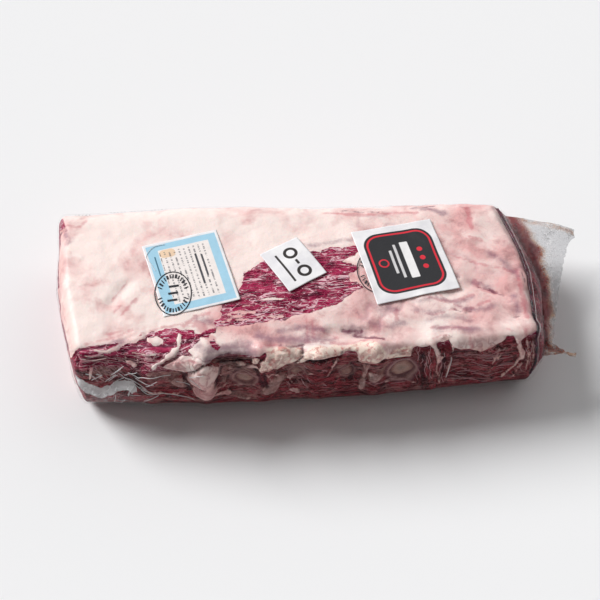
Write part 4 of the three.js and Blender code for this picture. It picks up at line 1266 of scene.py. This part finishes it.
def makeThreads():
    draw = random.Random(11)
    paths = []
    for (x0, v0), (x1, v1), heading, count, least, most in threads["zones"]:
        for _ in range(count):
            x, v = draw.uniform(x0, x1), draw.uniform(v0, v1)
            length = draw.uniform(least, most)
            turn = math.radians(heading + draw.uniform(-threads["stray"], threads["stray"]))
            bend = draw.uniform(-threads["bend"], threads["bend"]) * length
            dx, dv = length * math.cos(turn), length * math.sin(turn)
            middle = (x - bend * math.sin(turn), v + bend * math.cos(turn))
            paths.append(surfacePath([(x - dx / 2, v - dv / 2), middle, (x + dx / 2, v + dv / 2)],
                                     threads["lift"] + draw.uniform(0, 1.2), 18, 0.0))
    makeStrands("sinewThreads", paths, threads["thickness"], sinew, "beef")


makeThreads()
print("threads made")


# The studio: pale floor, a soft key light from behind on the left, and an even room light
studio = {
    "floor": "#f0f0f1", "room": 0.2, "keyStrength": 3.55, "keyAngle": 32, "keyFrom": (-6.4, 3.9, 5.9),
    "fillStrength": 0.5, "fillAngle": 60, "fillFrom": (4, 3, 5),
    "target": (4.5, 2, 45), "elevation": 53, "azimuth": -2.5, "distance": 1600, "focal": 1816,
    "image": 600, "sensor": 36, "reach": 4,     # pixels across, sensor width, half the floor in metres
}


def makeStudio():
    floor = bpy.data.meshes.new("floor")
    reach = studio["reach"]
    corners = [(x * reach, y * reach, 0) for x, y in ((-1, -1), (1, -1), (1, 1), (-1, 1))]
    floor.from_pydata(corners, [], [(0, 1, 2, 3)])
    # Painted board: matt and even
    material, add = newMaterial("painted board, matt")
    surface = add("BsdfPrincipled", {"Base Color": studio["floor"], "Roughness": 0.9,
                                     "Specular IOR Level": 0.1})
    add("OutputMaterial", {"Surface": surface})
    floor.materials.append(material)
    floorPiece = bpy.data.objects.new("floor", floor)
    bpy.context.scene.collection.objects.link(floorPiece)

    world = bpy.data.worlds.new("studio")
    bpy.context.scene.world = world
    world.use_nodes = True
    world.node_tree.nodes["Background"].inputs[0].default_value = linearColor("#ffffff")
    world.node_tree.nodes["Background"].inputs[1].default_value = studio["room"]

    target = Vector(toFrame(studio["target"])[0])
    for name in ("key", "fill"):
        lamp = bpy.data.lights.new(name, "SUN")
        lamp.energy = studio[name + "Strength"]
        lamp.angle = math.radians(studio[name + "Angle"])
        lampPiece = bpy.data.objects.new(name, lamp)
        lampPiece.rotation_euler = (-Vector(studio[name + "From"])).to_track_quat("-Z", "Y").to_euler()
        bpy.context.scene.collection.objects.link(lampPiece)

    up, turn = math.radians(studio["elevation"]), math.radians(studio["azimuth"])
    back = Vector((math.sin(turn) * math.cos(up), -math.cos(turn) * math.cos(up), math.sin(up)))
    lens = bpy.data.cameras.new("camera")
    lens.sensor_width = studio["sensor"]
    lens.lens = studio["sensor"] * studio["focal"] / studio["image"]
    camera = bpy.data.objects.new("camera", lens)
    camera.location = target + back * studio["distance"] / 1000
    camera.rotation_euler = (-back).to_track_quat("-Z", "Y").to_euler()
    bpy.context.scene.collection.objects.link(camera)
    bpy.context.scene.camera = camera
    bpy.context.scene.view_settings.view_transform = "Standard"


makeStudio()
print("studio made")
